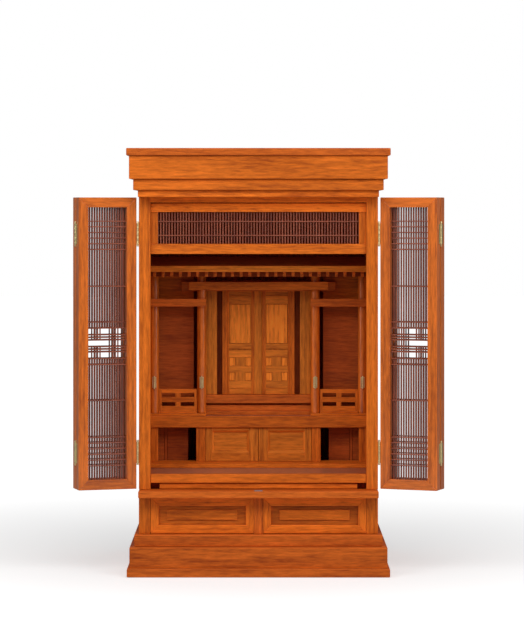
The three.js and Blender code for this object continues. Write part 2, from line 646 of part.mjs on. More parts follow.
addPlinth();
addDrawerCase();
addWaist();
addWalls();
addCornice();
addTransom();
addEave();
addPorch();
addBays();
addPlatform();
addFloor();
addLowerPanels();
addLowerDoors();
addShrine();
addShrineDoors();
addTray();
addDrawers();
addFoldingDoor('left', -1, OPEN.left);
addFoldingDoor('right', 1, OPEN.right);

export default cabinet;
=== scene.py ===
"""Household altar cabinet: the boards, lattices, hinges and fittings of a table-top altar, in its lacquer.

Lengths in the joinery are millimetres in the altar's own frame: x from the middle to the right,
y from the front plane of the face frame into the case, z up from the underside.
"""

import json
import math
import random

import bpy
from mathutils import Matrix, Vector


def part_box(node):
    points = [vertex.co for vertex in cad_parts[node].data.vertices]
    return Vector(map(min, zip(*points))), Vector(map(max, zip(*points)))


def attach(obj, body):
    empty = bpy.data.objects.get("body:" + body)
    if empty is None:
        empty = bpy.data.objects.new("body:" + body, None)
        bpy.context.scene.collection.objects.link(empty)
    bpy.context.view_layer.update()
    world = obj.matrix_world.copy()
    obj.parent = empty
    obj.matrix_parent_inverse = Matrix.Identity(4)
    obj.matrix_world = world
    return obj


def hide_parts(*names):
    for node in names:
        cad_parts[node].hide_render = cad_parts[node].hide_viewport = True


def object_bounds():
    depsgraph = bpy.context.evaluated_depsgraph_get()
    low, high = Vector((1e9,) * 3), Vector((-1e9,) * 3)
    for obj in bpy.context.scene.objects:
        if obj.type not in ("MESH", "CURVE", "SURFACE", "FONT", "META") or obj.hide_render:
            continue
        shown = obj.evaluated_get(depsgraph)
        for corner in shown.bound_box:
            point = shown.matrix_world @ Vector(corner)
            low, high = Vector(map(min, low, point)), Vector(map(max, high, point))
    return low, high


bl_info = {
    "name": "Household Altar Cabinet",
    "version": (1, 0, 0),
    "blender": (4, 5, 0),
    "location": "View3D > Sidebar > Altar",
    "description": "Builds a lacquered household altar cabinet around its frame",
    "category": "Object",
}

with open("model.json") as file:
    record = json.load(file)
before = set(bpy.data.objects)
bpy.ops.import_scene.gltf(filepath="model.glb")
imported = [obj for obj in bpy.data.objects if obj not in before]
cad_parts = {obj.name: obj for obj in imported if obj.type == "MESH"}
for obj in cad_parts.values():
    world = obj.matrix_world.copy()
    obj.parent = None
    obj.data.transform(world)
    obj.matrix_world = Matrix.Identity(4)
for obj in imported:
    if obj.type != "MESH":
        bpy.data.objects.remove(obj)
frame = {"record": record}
FRAME_BOX = [list(corner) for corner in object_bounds()]
RECORD = frame["record"]
BODY_OF = {node: body for body, nodes in RECORD["behaviour"]["bodies"].items() for node in nodes}
JOINT = {joint["name"]: joint for joint in RECORD["behaviour"]["joints"]}

MM = 0.001
FIT = 0.3  # gap that the frame keeps between pieces
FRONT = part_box("face_frame")[0][1]  # depth zero, in metres of the frame
SIDES = (("left", -1), ("right", 1))
AXIS = {"X": 0, "Y": 1, "Z": 2}
chance = random.Random(25)


# ---------------------------------------------------------------- sizes and colours
def length_property(name, description, value, least, most):
    return bpy.props.FloatProperty(
        name=name, description=description, default=value * MM, min=least * MM, max=most * MM,
        precision=5, subtype="DISTANCE")


class AltarJoinery(bpy.types.PropertyGroup):
    """Sizes of the joinery that the frame doesn't give"""

    ease: length_property("Eased Edge", "Rounding of a board's edges", 0.8, 0.1, 3)
    fine_ease: length_property("Fine Edge", "Rounding of the edges of small members", 0.35, 0.05, 1)
    strip: length_property("Lattice Strip", "Width of an upright lattice strip", 2.2, 1, 4)
    bar: length_property("Lattice Bar", "Height of a level lattice bar", 1.8, 1, 4)
    leaf_member: length_property("Door Member", "Width of the members of a door leaf", 17.5, 10, 30)
    drawer_member: length_property("Drawer Member", "Width of the frame of a drawer front", 14, 8, 20)
    pillar_radius: length_property("Pillar Radius", "Radius of the turned pillars", 8.2, 5, 8.2)


def colour_property(name, description, value):
    return bpy.props.FloatVectorProperty(
        name=name, description=description, default=value, size=3, min=0, max=1, subtype="COLOR")


class AltarFinishes(bpy.types.PropertyGroup):
    """Colours of the finishes"""

    amber: colour_property("Amber", "Case, doors and mouldings", (0.66, 0.145, 0.011))
    russet: colour_property("Russet", "Plinth, waist and beams", (0.62, 0.128, 0.013))
    honey: colour_property("Honey", "Inner shrine", (0.62, 0.172, 0.016))
    brown: colour_property("Brown", "Back and bay panels", (0.40, 0.070, 0.009))
    umber: colour_property("Umber", "Lattice strips", (0.28, 0.070, 0.030))
    # This colour is pale to stand for a sheen on the floors: a painted reflection, not wear.
    rubbed: colour_property("Rubbed", "Floors, where the finish is rubbed pale", (0.46, 0.165, 0.085))
    brass: colour_property("Brass", "Hinges and fittings", (0.95, 0.74, 0.36))
    steel: colour_property("Steel", "Catch plate", (0.16, 0.16, 0.18))


class AltarStage(bpy.types.PropertyGroup):
    """Camera and light"""

    distance: bpy.props.FloatProperty(
        name="Camera Distance", description="From the camera to the face frame",
        default=4.741, min=1, max=20, subtype="DISTANCE")
    height: bpy.props.FloatProperty(
        name="Camera Height", description="Height of the camera above the underside",
        default=0.6387, min=0, max=3, subtype="DISTANCE")
    lens: bpy.props.FloatProperty(
        name="Lens", description="Focal length of the camera", default=151.9, min=20, max=400)
    key: bpy.props.FloatProperty(
        name="Key Light", description="Power of the large light above the camera",
        default=18, min=0, max=500, unit="POWER")
    side: bpy.props.FloatProperty(
        name="Side Lights", description="Power of the lights on either hand",
        default=12, min=0, max=500, unit="POWER")
    strip: bpy.props.FloatProperty(
        name="Strip Lights", description="Power of the tall narrow lights at the sides",
        default=4, min=0, max=500, unit="POWER")
    surround: bpy.props.FloatProperty(
        name="Surround", description="Light that the pale surround gives", default=0.13, min=0, max=4)


# ---------------------------------------------------------------- finishes
def node(tree, kind, place=(0, 0), **settings):
    made = tree.nodes.new(kind)
    made.location = place
    for key, value in settings.items():
        setattr(made, key, value)
    return made


def stretched_noise(tree, grain, along, across, detail, distortion, place):
    """Noise whose features are 1/along metres long and 1/across metres wide."""
    mapping = node(tree, "ShaderNodeMapping", place)
    mapping.inputs["Scale"].default_value = (along, across, across)
    noise = node(tree, "ShaderNodeTexNoise", (place[0] + 200, place[1]))
    noise.inputs["Scale"].default_value = 1
    noise.inputs["Detail"].default_value = detail
    noise.inputs["Roughness"].default_value = 0.55
    noise.inputs["Distortion"].default_value = distortion
    tree.links.new(grain, mapping.inputs["Vector"])
    tree.links.new(mapping.outputs["Vector"], noise.inputs["Vector"])
    return noise.outputs["Fac"]


def sums(tree, operation, first, second, place=(0, 0)):
    made = node(tree, "ShaderNodeMath", place, operation=operation)
    for socket, value in zip(made.inputs, (first, second)):
        if isinstance(value, bpy.types.NodeSocket):
            tree.links.new(value, socket)
        else:
            socket.default_value = value
    return made.outputs["Value"]


def ramped(tree, factor, low, high, out_low, out_high, place=(0, 0)):
    made = node(tree, "ShaderNodeMapRange", place, clamp=True)
    tree.links.new(factor, made.inputs["Value"])
    for name, value in (("From Min", low), ("From Max", high), ("To Min", out_low), ("To Max", out_high)):
        made.inputs[name].default_value = value
    return made.outputs["Result"]


def blended(tree, blend, factor, first, second, place=(0, 0)):
    made = node(tree, "ShaderNodeMix", place, data_type="RGBA", blend_type=blend)
    for socket, value in ((made.inputs[0], factor), (made.inputs[6], first), (made.inputs[7], second)):
        if isinstance(value, bpy.types.NodeSocket):
            tree.links.new(value, socket)
        else:
            socket.default_value = value
    return made.outputs[2]


def shade(colour, times, blue=1.0):
    red, green, last = (min(1, part * times) for part in colour)
    return (red, green * (1 if times >= 1 else times ** 0.35), last * blue, 1)


def wood(name, colour, rough, gloss, coat, streaks=1.0):
    """Lacquered hardwood. The pattern follows each board by its own grain attribute."""
    made = bpy.data.materials.new(name)
    made.use_nodes = True
    tree = made.node_tree
    surface = tree.nodes["Principled BSDF"]
    grain = node(tree, "ShaderNodeAttribute", (-1500, 200), attribute_name="grain").outputs["Vector"]
    tone = node(tree, "ShaderNodeAttribute", (-700, 500), attribute_name="tone").outputs["Fac"]
    worn = node(tree, "ShaderNodeAttribute", (-700, -500), attribute_name="worn").outputs["Fac"]

    patches = stretched_noise(tree, grain, 4.5, 30, 3, 0.6, (-1250, 850))
    flecks = stretched_noise(tree, grain, 42, 330, 3, 0.1, (-1250, 600))
    streak = stretched_noise(tree, grain, 9, 150, 4, 0.2, (-1250, 350))
    fibres = stretched_noise(tree, grain, 90, 1500, 2, 0, (-1250, 100))
    mapping = node(tree, "ShaderNodeMapping", (-1250, -150))
    mapping.inputs["Scale"].default_value = (2.6, 30, 30)
    rings = node(tree, "ShaderNodeTexWave", (-1050, -150), wave_type="BANDS", bands_direction="Y")
    rings.inputs["Scale"].default_value = 1
    rings.inputs["Distortion"].default_value = 7
    rings.inputs["Detail"].default_value = 2.5
    rings.inputs["Detail Scale"].default_value = 0.8
    tree.links.new(grain, mapping.inputs["Vector"])
    tree.links.new(mapping.outputs["Vector"], rings.inputs["Vector"])

    figure = sums(tree, "ADD", sums(tree, "MULTIPLY", patches, 0.22, (-800, 800)),
                  sums(tree, "MULTIPLY", flecks, 0.42, (-800, 600)), (-650, 700))
    bands = sums(tree, "ADD", sums(tree, "MULTIPLY", streak, 0.27 * streaks, (-800, 400)),
                 sums(tree, "MULTIPLY", rings.outputs["Fac"], 0.08, (-800, 250)), (-650, 350))
    figure = sums(tree, "ADD", figure, bands, (-500, 450))
    ramp = node(tree, "ShaderNodeValToRGB", (-350, 450))
    stops = ramp.color_ramp.elements
    stops[0].position, stops[0].color = 0.33, shade(colour, 0.52)
    stops[1].position, stops[1].color = 0.66, shade(colour, 1.42, 1.1)
    middle = stops.new(0.5)
    middle.color = shade(colour, 1)
    tree.links.new(figure, ramp.inputs["Fac"])

    pores = ramped(tree, fibres, 0.54, 0.72, 0, 1, (-500, 100))
    dark = blended(tree, "MULTIPLY", sums(tree, "MULTIPLY", pores, 0.34, (-350, 100)),
                   ramp.outputs["Color"], (0.42, 0.27, 0.2, 1), (-50, 350))
    toned = node(tree, "ShaderNodeHueSaturation", (120, 350))
    tree.links.new(dark, toned.inputs["Color"])
    tree.links.new(sums(tree, "ADD", tone, 1, (-350, 650)), toned.inputs["Value"])
    # This ramp is the wear rubbed pale along the eased edges.
    rubbed = ramped(tree, streak, 0.35, 0.7, 0.1, 0.55, (-500, -500))
    edge = sums(tree, "MULTIPLY", worn, rubbed, (-300, -500))
    colour_out = blended(tree, "MIX", edge, toned.outputs["Color"], shade(colour, 1.5, 1.6), (300, 350))
    tree.links.new(colour_out, surface.inputs["Base Color"])

    roughness = sums(tree, "ADD", ramped(tree, patches, 0.3, 0.7, rough - 0.05, rough + 0.07, (-300, -50)),
                     sums(tree, "MULTIPLY", pores, 0.16, (-300, -200)), (0, -50))
    tree.links.new(roughness, surface.inputs["Roughness"])
    bump = node(tree, "ShaderNodeBump", (120, -300), invert=True)
    bump.inputs["Strength"].default_value = 0.35
    bump.inputs["Distance"].default_value = 0.00012
    raised = sums(tree, "MULTIPLY", streak, 0.6, (-300, -350))
    tree.links.new(sums(tree, "ADD", pores, raised, (-100, -300)), bump.inputs["Height"])
    tree.links.new(bump.outputs["Normal"], surface.inputs["Normal"])
    surface.inputs["Coat Weight"].default_value = coat
    surface.inputs["Coat Roughness"].default_value = 0.16
    surface.inputs["Specular IOR Level"].default_value = gloss
    return made


def metal(name, colour, rough, tarnish):
    """Metal with a slight tarnish in soft patches and fine rubbing marks."""
    made = bpy.data.materials.new(name)
    made.use_nodes = True
    tree = made.node_tree
    surface = tree.nodes["Principled BSDF"]
    place = node(tree, "ShaderNodeTexCoord", (-1500, 0)).outputs["Object"]
    cloud = stretched_noise(tree, place, 160, 160, 3, 0.4, (-1250, 300))
    rub = stretched_noise(tree, place, 900, 2400, 2, 0, (-1250, 0))
    mixed = blended(tree, "MIX", ramped(tree, cloud, 0.4, 0.7, 0, tarnish, (-600, 300)),
                    (*colour, 1), (colour[0] * 0.45, colour[1] * 0.34, colour[2] * 0.3, 1), (-300, 300))
    tree.links.new(mixed, surface.inputs["Base Color"])
    tree.links.new(ramped(tree, rub, 0.3, 0.7, rough, rough + 0.16, (-600, 0)), surface.inputs["Roughness"])
    bump = node(tree, "ShaderNodeBump", (-300, -200))
    bump.inputs["Strength"].default_value = 0.2
    bump.inputs["Distance"].default_value = 0.00005
    tree.links.new(rub, bump.inputs["Height"])
    tree.links.new(bump.outputs["Normal"], surface.inputs["Normal"])
    surface.inputs["Metallic"].default_value = 0.8
    return made


def finish(name):
    """The material of one finish, made the first time that it is asked for."""
    ready = bpy.data.materials.get(name)
    if ready:
        return ready
    colours = bpy.context.scene.altar_finishes
    if name in ("brass", "steel"):
        return metal(name, tuple(getattr(colours, name)), 0.24, 0.3)
    colour, *look = {
        "amber": ("amber", 0.42, 0.15, 0.0, 1.0),
        "polished": ("amber", 0.42, 0.2, 0.9, 1.0),
        "russet": ("russet", 0.44, 0.15, 0.0, 1.0),
        "honey": ("honey", 0.48, 0.15, 0.0, 1.1),
        "brown": ("brown", 0.52, 0.15, 0.0, 0.8),
        "umber": ("umber", 0.36, 0.4, 0.6, 0.8),
        # The floors' finish is pale as a painted reflection: the sheen of light across them.
        "rubbed": ("rubbed", 0.34, 0.5, 0.0, 0.9),
    }[name]
    return wood(name, tuple(getattr(colours, colour)), *look)


# ---------------------------------------------------------------- making boards
def reach(*nodes):
    """Limits on x, y and z of these frame nodes together, in the altar's own frame."""
    boxes = [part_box(name) for name in nodes]
    shift = (0, FRONT, 0)
    return [(
        (min(low[i] for low, high in boxes) - shift[i]) / MM,
        (max(high[i] for low, high in boxes) - shift[i]) / MM,
    ) for i in range(3)]


def wide(half):
    return (-half, half)


def sided(side, near, far):
    return (side * near, side * far) if side > 0 else (side * far, side * near)


def select_only(*objects):
    bpy.ops.object.select_all(action="DESELECT")
    for each in objects:
        each.select_set(True)
    bpy.context.view_layer.objects.active = objects[0]


def place(x, y, z):
    return Vector((x * MM, FRONT + y * MM, z * MM))


def board(x, y, z, run="X", of="amber", tone=0.0):
    """A board between these limits. run is the way its grain runs."""
    bpy.ops.object.select_all(action="DESELECT")
    low, high = place(min(x), min(y), min(z)), place(max(x), max(y), max(z))
    bpy.ops.mesh.primitive_cube_add(size=1, location=(low + high) / 2, scale=high - low)
    bpy.ops.object.transform_apply(location=True, rotation=True, scale=True)
    made = bpy.context.object
    made["run"], made["tone"] = run, tone
    made.data.materials.append(finish(of))
    return made


def shift_corners(made, where, by):
    """Moves the corners of a board that lie at these ends by so many millimetres.

    where gives an axis and the end of it, 0 for its low end and 1 for its high end.
    """
    points = [vertex.co for vertex in made.data.vertices]
    middle = [(min(co[i] for co in points) + max(co[i] for co in points)) / 2 for i in range(3)]
    chosen = [all((co[AXIS[axis]] > middle[AXIS[axis]]) == bool(end) for axis, end in where.items())
              for co in points]
    select_only(made)
    bpy.ops.object.mode_set(mode="EDIT")
    bpy.ops.mesh.select_all(action="DESELECT")
    bpy.ops.object.mode_set(mode="OBJECT")
    for vertex, wanted in zip(made.data.vertices, chosen):
        vertex.select = wanted
    bpy.ops.object.mode_set(mode="EDIT")
    bpy.ops.transform.translate(value=Vector(by) * MM)
    bpy.ops.object.mode_set(mode="OBJECT")
    return made


def mitred(x, y, z, run, inside, cut, ends=(0, 1), **look):
    """A board whose ends are cut on the slant. inside is the axis and end of its short side."""
    made = board(x, y, z, run, **look)
    for end in ends:
        step = [0, 0, 0]
        step[AXIS[run]] = cut if end == 0 else -cut
        shift_corners(made, {run: end, **inside}, step)
    return made


def lay_grain(made):
    """Stores where each point lies along, across and into its board, with a start of its own."""
    first = AXIS[made.get("run", "X")]
    order = (first, (first + 1) % 3, (first + 2) % 3)
    start = [chance.uniform(0, 40) for _ in range(3)]
    # The tone is the board's given shift plus a small random spread; on some boards the given shift is
    # painted light or painted shade.
    swing = made.get("tone", 0.0) + chance.uniform(-0.05, 0.05)
    laid = [vertex.co[order[i]] + start[i] for vertex in made.data.vertices for i in range(3)]
    made.data.attributes.new("grain", "FLOAT_VECTOR", "POINT").data.foreach_set("vector", laid)
    tones = [swing] * len(made.data.vertices)
    made.data.attributes.new("tone", "FLOAT", "POINT").data.foreach_set("value", tones)


def copied(made, x=0, y=0, z=0):
    """A copy of a finished board with its own mesh, moved by so many millimetres."""
    twin = made.copy()
    twin.data = made.data.copy()
    bpy.context.collection.objects.link(twin)
    twin.data.transform(Matrix.Translation(Vector((x, y, z)) * MM))
    grain = twin.data.attributes.get("grain")
    if grain:
        start = Vector([chance.uniform(0, 40) for _ in range(3)])
        for item in grain.data:
            item.vector = item.vector + start
    return twin


def join(parts):
    if len(parts) > 1:
        select_only(*parts)
        bpy.ops.object.join()
    return parts[0]


def eased(parts, width, segments=2):
    """Boards joined, with their edges rounded and marked where they wear."""
    for part in parts:
        lay_grain(part)
    made = join(parts)
    select_only(made)
    bpy.ops.object.shade_smooth()
    bpy.ops.object.modifier_add(type="BEVEL")
    rounding = made.modifiers[-1]
    rounding.width = width
    rounding.segments = segments
    rounding.limit_method = "ANGLE"
    rounding.angle_limit = math.radians(30)
    rounding.harden_normals = True
    bpy.ops.object.modifier_apply(modifier=rounding.name)
    edges = [float(max(abs(part) for part in face.normal) < 0.96) for face in made.data.polygons]
    made.data.attributes.new("worn", "FLOAT", "FACE").data.foreach_set("value", edges)
    return made


def turned(radius, x, y, z, of="amber", run="Z", sides=40):
    """A turned rod with eased ends."""
    bpy.ops.object.select_all(action="DESELECT")
    bpy.ops.mesh.primitive_cylinder_add(
        vertices=sides, radius=radius * MM, depth=(z[1] - z[0]) * MM,
        location=place(x, y, (z[0] + z[1]) / 2))
    bpy.ops.object.transform_apply(location=True, rotation=True, scale=True)
    made = bpy.context.object
    made["run"], made["tone"] = run, 0.0
    made.data.materials.append(finish(of))
    lay_grain(made)
    bpy.ops.object.modifier_add(type="BEVEL")
    rounding = made.modifiers[-1]
    rounding.width = min(0.7, radius * 0.3) * MM
    rounding.segments = 3
    rounding.limit_method = "ANGLE"
    rounding.angle_limit = math.radians(60)
    bpy.ops.object.modifier_apply(modifier=rounding.name)
    made.data.attributes.new("worn", "FLOAT", "FACE")
    bpy.ops.object.shade_smooth_by_angle(angle=math.radians(35))
    return made


def stand_for(node_name, parts, where=None, piece_name=None, hides=True):
    """Joins finished parts into the piece that stands for a node of the frame."""
    made = join(parts)
    if where is not None:
        made.data.transform(where)
    made.name = piece_name or f"{node_name}.finish"
    made.data.name = made.name
    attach(made, BODY_OF[node_name])
    if hides:
        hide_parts(node_name)
    return made


def sizes():
    return bpy.context.scene.altar_joinery


def ease():
    return sizes().ease


def fine():
    return sizes().fine_ease


def ring_of_boards(x, y, z, side, front, of, back=True):
    """Mitred boards round the front and sides of the case, and one across the back."""
    made = [mitred(x, (y[0], y[0] + front), z, "X", {"Y": 1}, side, of=of)]
    rear = y[1] - front / 2 if back else y[1]
    for _, way in SIDES:
        edge = x[0] if way < 0 else x[1]
        made.append(mitred((edge, edge - way * side), (y[0], rear), z, "Y",
                           {"X": 1 if way < 0 else 0}, front, ends=(0,), of=of))
    if back:
        made.append(board(x, (rear, y[1]), z, "X", of))
    return made


# ---------------------------------------------------------------- pieces
class Builder:
    bl_options = {"REGISTER", "UNDO"}


class ALTAR_OT_plinth(Builder, bpy.types.Operator):
    """Stepped plinth with its skirting and underside board"""

    bl_idname = "altar.plinth"
    bl_label = "Plinth"

    SKIRT = 14.2
    BODY_SIDE = 15
    BODY_FRONT = 36
    SOFTNESS = 1.6

    def execute(self, context):
        x, y, z = reach("plinth_lower")
        case = reach("back_wall")[0][1]
        well = reach("base_board")
        body = wide(case + self.BODY_SIDE)
        body_y = (-self.BODY_FRONT, y[1])
        side = body[1] - well[0][1]
        front = well[1][0] + self.BODY_FRONT
        parts = ring_of_boards(body, body_y, (z[0], z[1]), side, front, "russet")
        low = (z[0], self.SKIRT)
        skirt = [mitred(x, (y[0], body_y[0]), low, "X", {"Y": 1}, x[1] - body[1], of="russet")]
        for _, way in SIDES:
            inside = {"X": 1 if way < 0 else 0}
            skirt.append(mitred(sided(way, body[1], x[1]), y, low, "Y", inside, body_y[0] - y[0],
                                ends=(0,), of="russet", tone=0.06))
        soft = ease() * self.SOFTNESS
        stand_for("plinth_lower", [eased(parts, soft, 3), eased(skirt, soft, 3)])

        x, y, z = reach("plinth_upper")
        parts = ring_of_boards(x, y, z, x[1] - well[0][1], well[1][0] - y[0], "russet")
        stand_for("plinth_upper", [eased(parts, soft, 3)])

        x, y, z = reach("base_board")
        stand_for("base_board", [eased([board(x, y, z, "X", "brown")], ease())])
        return {"FINISHED"}


class ALTAR_OT_drawer_base(Builder, bpy.types.Operator):
    """Carcass of the drawer base, the waist board over it and the catch plate"""

    bl_idname = "altar.drawer_base"
    bl_label = "Drawer Base"

    POST = 7.6
    DIVIDER = 4
    FLOOR = 4
    RUN = 0.5
    SCREW = 1.1
    SCREW_FROM_MIDDLE = 4.4

    def execute(self, context):
        x, y, z = reach("drawer_case")
        stile = reach("drawer_right")[0][1] + self.RUN
        depth = reach("face_frame")[1][1]
        inner = reach("floor_board")[0][1] + FIT
        back = reach("back_wall")[1][0]
        parts = [board(wide(self.POST), (0, depth), z, "Z", "russet")]
        for _, way in SIDES:
            parts.append(board(sided(way, stile, x[1]), (0, depth), z, "Z", "amber", -0.08))
            parts.append(board(sided(way, inner, x[1]), (depth, y[1]), z, "Y", "russet"))
        parts.append(board(wide(inner), (back, y[1]), z, "X", "brown"))
        parts.append(board(wide(self.DIVIDER), (depth, back), z, "Y", "brown"))
        parts.append(board(wide(inner), (depth, back), (z[0], z[0] + self.FLOOR), "X", "brown"))
        stand_for("drawer_case", [eased(parts, ease() * 0.6)])

        x, y, z = reach("waist_board")
        stand_for("waist_board", [eased([board(x, y, z, "X", "russet")], ease() * 2.2, 4)])

        x, y, z = reach("catch_plate")
        plate = [eased([board(x, y, z, "X", "steel")], fine() * 0.6)]
        for way in (-1, 1):
            plate.append(turned(self.SCREW, way * self.SCREW_FROM_MIDDLE, sum(y) / 2,
                                (z[1] - 0.6, z[1] + 0.05), "brass", sides=16))
        stand_for("catch_plate", plate)
        return {"FINISHED"}


class ALTAR_OT_case(Builder, bpy.types.Operator):
    """Side walls, back, face frame and top board of the case"""

    bl_idname = "altar.case"
    bl_label = "Case"

    HEADER_GAP = 1.7

    def execute(self, context):
        for word, _ in SIDES:
            x, y, z = reach(f"side_wall_{word}")
            stand_for(f"side_wall_{word}", [eased([board(x, y, z, "Z", "amber", -0.05)], ease())])
        x, y, z = reach("back_wall")
        stand_for("back_wall", [eased([board(x, y, z, "Z", "brown", 0.1)], ease())])

        x, y, z = reach("face_frame")
        mouth = reach("transom_frame")[0][1] + FIT
        header = reach("transom_frame")[2][1] + self.HEADER_GAP
        parts = [board(sided(way, mouth, x[1]), y, z, "Z", "amber") for _, way in SIDES]
        # The header's tone is raised by 0.4: painted light against the shade under the ledge.
        parts.append(board(wide(mouth), y, (header, z[1]), "X", "amber", 0.4))
        stand_for("face_frame", [eased(parts, ease())])

        x, y, z = reach("top_board")
        stand_for("top_board", [eased([board(x, y, z, "X", "russet")], ease() * 2, 3)])
        return {"FINISHED"}


class ALTAR_OT_cornice(Builder, bpy.types.Operator):
    """Ledge, band and frieze of the cornice, mitred at the corners"""

    bl_idname = "altar.cornice"
    bl_label = "Cornice"

    LEDGE_HEIGHT = 11.9
    LEDGE_FRONT = 30
    LEDGE_SIDE = 0.5

    def execute(self, context):
        x, y, z = reach("cornice_moulding")
        case = reach("back_wall")[0][1]
        inner = case + FIT
        step = z[0] + self.LEDGE_HEIGHT
        ledge = board(wide(case + self.LEDGE_SIDE), (-self.LEDGE_FRONT, -FIT), (z[0], step),
                      "X", "amber", 0.25)
        band = ring_of_boards(x, y, (step, z[1]), x[1] - inner, -FIT - y[0], "amber", back=False)
        stand_for("cornice_moulding", [eased([ledge, *band], ease() * 1.4, 3)])

        x, y, z = reach("frieze")
        band = ring_of_boards(x, y, z, x[1] - inner, -FIT - y[0], "amber", back=False)
        stand_for("frieze", [eased(band, ease() * 1.2, 3)])
        return {"FINISHED"}


def lattice_strips(x_first, pitch, count, y, z):
    """Upright strips, the first one's near edge at x_first."""
    width = sizes().strip / MM
    one = eased([board((x_first, x_first + width), y, z, "Z", "umber")], fine())
    return [one, *(copied(one, x=pitch * i) for i in range(1, count))]


class ALTAR_OT_transom(Builder, bpy.types.Operator):
    """Transom over the opening, with its close upright lattice"""

    bl_idname = "altar.transom"
    bl_label = "Transom"

    TOP_RAIL = 15
    BOTTOM_RAIL = 17.7
    STILE = 12.4
    BARS = (593.8, 618.4)
    SLOTS = 71
    RIM = 1
    SET = 2

    def execute(self, context):
        x, y, z = reach("transom_frame")
        low, high = z[0] + self.BOTTOM_RAIL, z[1] - self.TOP_RAIL
        parts = [board(x, y, (high, z[1]), "X", "amber", 0.35), board(x, y, (z[0], low), "X", "amber")]
        for _, way in SIDES:
            parts.append(board(sided(way, x[1] - self.STILE, x[1]), (y[0] + self.SET, y[1]), (low, high),
                               "Z", "amber", -0.1))
        bar = sizes().bar / MM
        half = x[1] - self.STILE
        first = eased([board(wide(half), (y[0] + self.SET, y[0] + self.SET + bar),
                             (self.BARS[0] - bar / 2, self.BARS[0] + bar / 2), "X", "umber", 0.15)], fine())
        bars = [first, copied(first, z=self.BARS[1] - self.BARS[0])]
        stand_for("transom_frame", [eased(parts, ease() * 0.8), *bars])

        x, y, z = reach("transom_strips")
        width = sizes().strip / MM
        pitch = (x[1] - x[0] - 2 * self.RIM + width) / self.SLOTS
        uprights = lattice_strips(x[0] + self.RIM + pitch - width, pitch, self.SLOTS - 1, y, z)
        ends = ((x[0], x[0] + self.RIM), (x[1] - self.RIM, x[1]))
        edges = [board(end, y, z, "Z", "umber") for end in ends]
        stand_for("transom_strips", [eased(edges, fine() * 0.6), *uprights])
        return {"FINISHED"}


class ALTAR_OT_eave(Builder, bpy.types.Operator):
    """Sloped eave with its fascia and the row of rafters under it"""

    bl_idname = "altar.eave"
    bl_label = "Eave"

    FASCIA = 9
    FACE = 10.8
    RAFTERS = 25
    PITCH = 15.65
    WIDTH = 5.4
    BEAM = 8

    def execute(self, context):
        x, y, z = reach("eave_board")
        # The fascia takes honey with its tone raised by 0.45, painted light on its lit front; the roof
        # board takes the dark brown finish, painted shade in the void above the eave.
        face = board(x, (y[0], y[0] + self.FASCIA), (z[0], z[0] + self.FACE), "X", "honey", 0.45)
        roof = board(x, (y[0] + self.FASCIA, y[1]), (z[0], z[0] + self.FACE), "X", "brown")
        shift_corners(roof, {"Y": 0, "Z": 1}, (0, 0, 1.6))
        shift_corners(roof, {"Y": 1, "Z": 1}, (0, 0, z[1] - z[0] - self.FACE))
        stand_for("eave_board", [eased([face, roof], ease())])

        x, y, z = reach("eave_rafters")
        first = -(self.RAFTERS - 1) / 2 * self.PITCH
        rafter = eased([board((first - self.WIDTH / 2, first + self.WIDTH / 2), (y[0], y[1] - self.BEAM), z,
                              "Y", "russet")], fine())
        rafters = [rafter, *(copied(rafter, x=i * self.PITCH) for i in range(1, self.RAFTERS))]
        # The beam behind the rafters takes the dark brown finish: painted shade in the gaps between the
        # rafters.
        beam = eased([board(x, (y[1] - self.BEAM, y[1]), z, "X", "brown")], ease() * 0.5)
        stand_for("eave_rafters", [beam, *rafters])
        return {"FINISHED"}


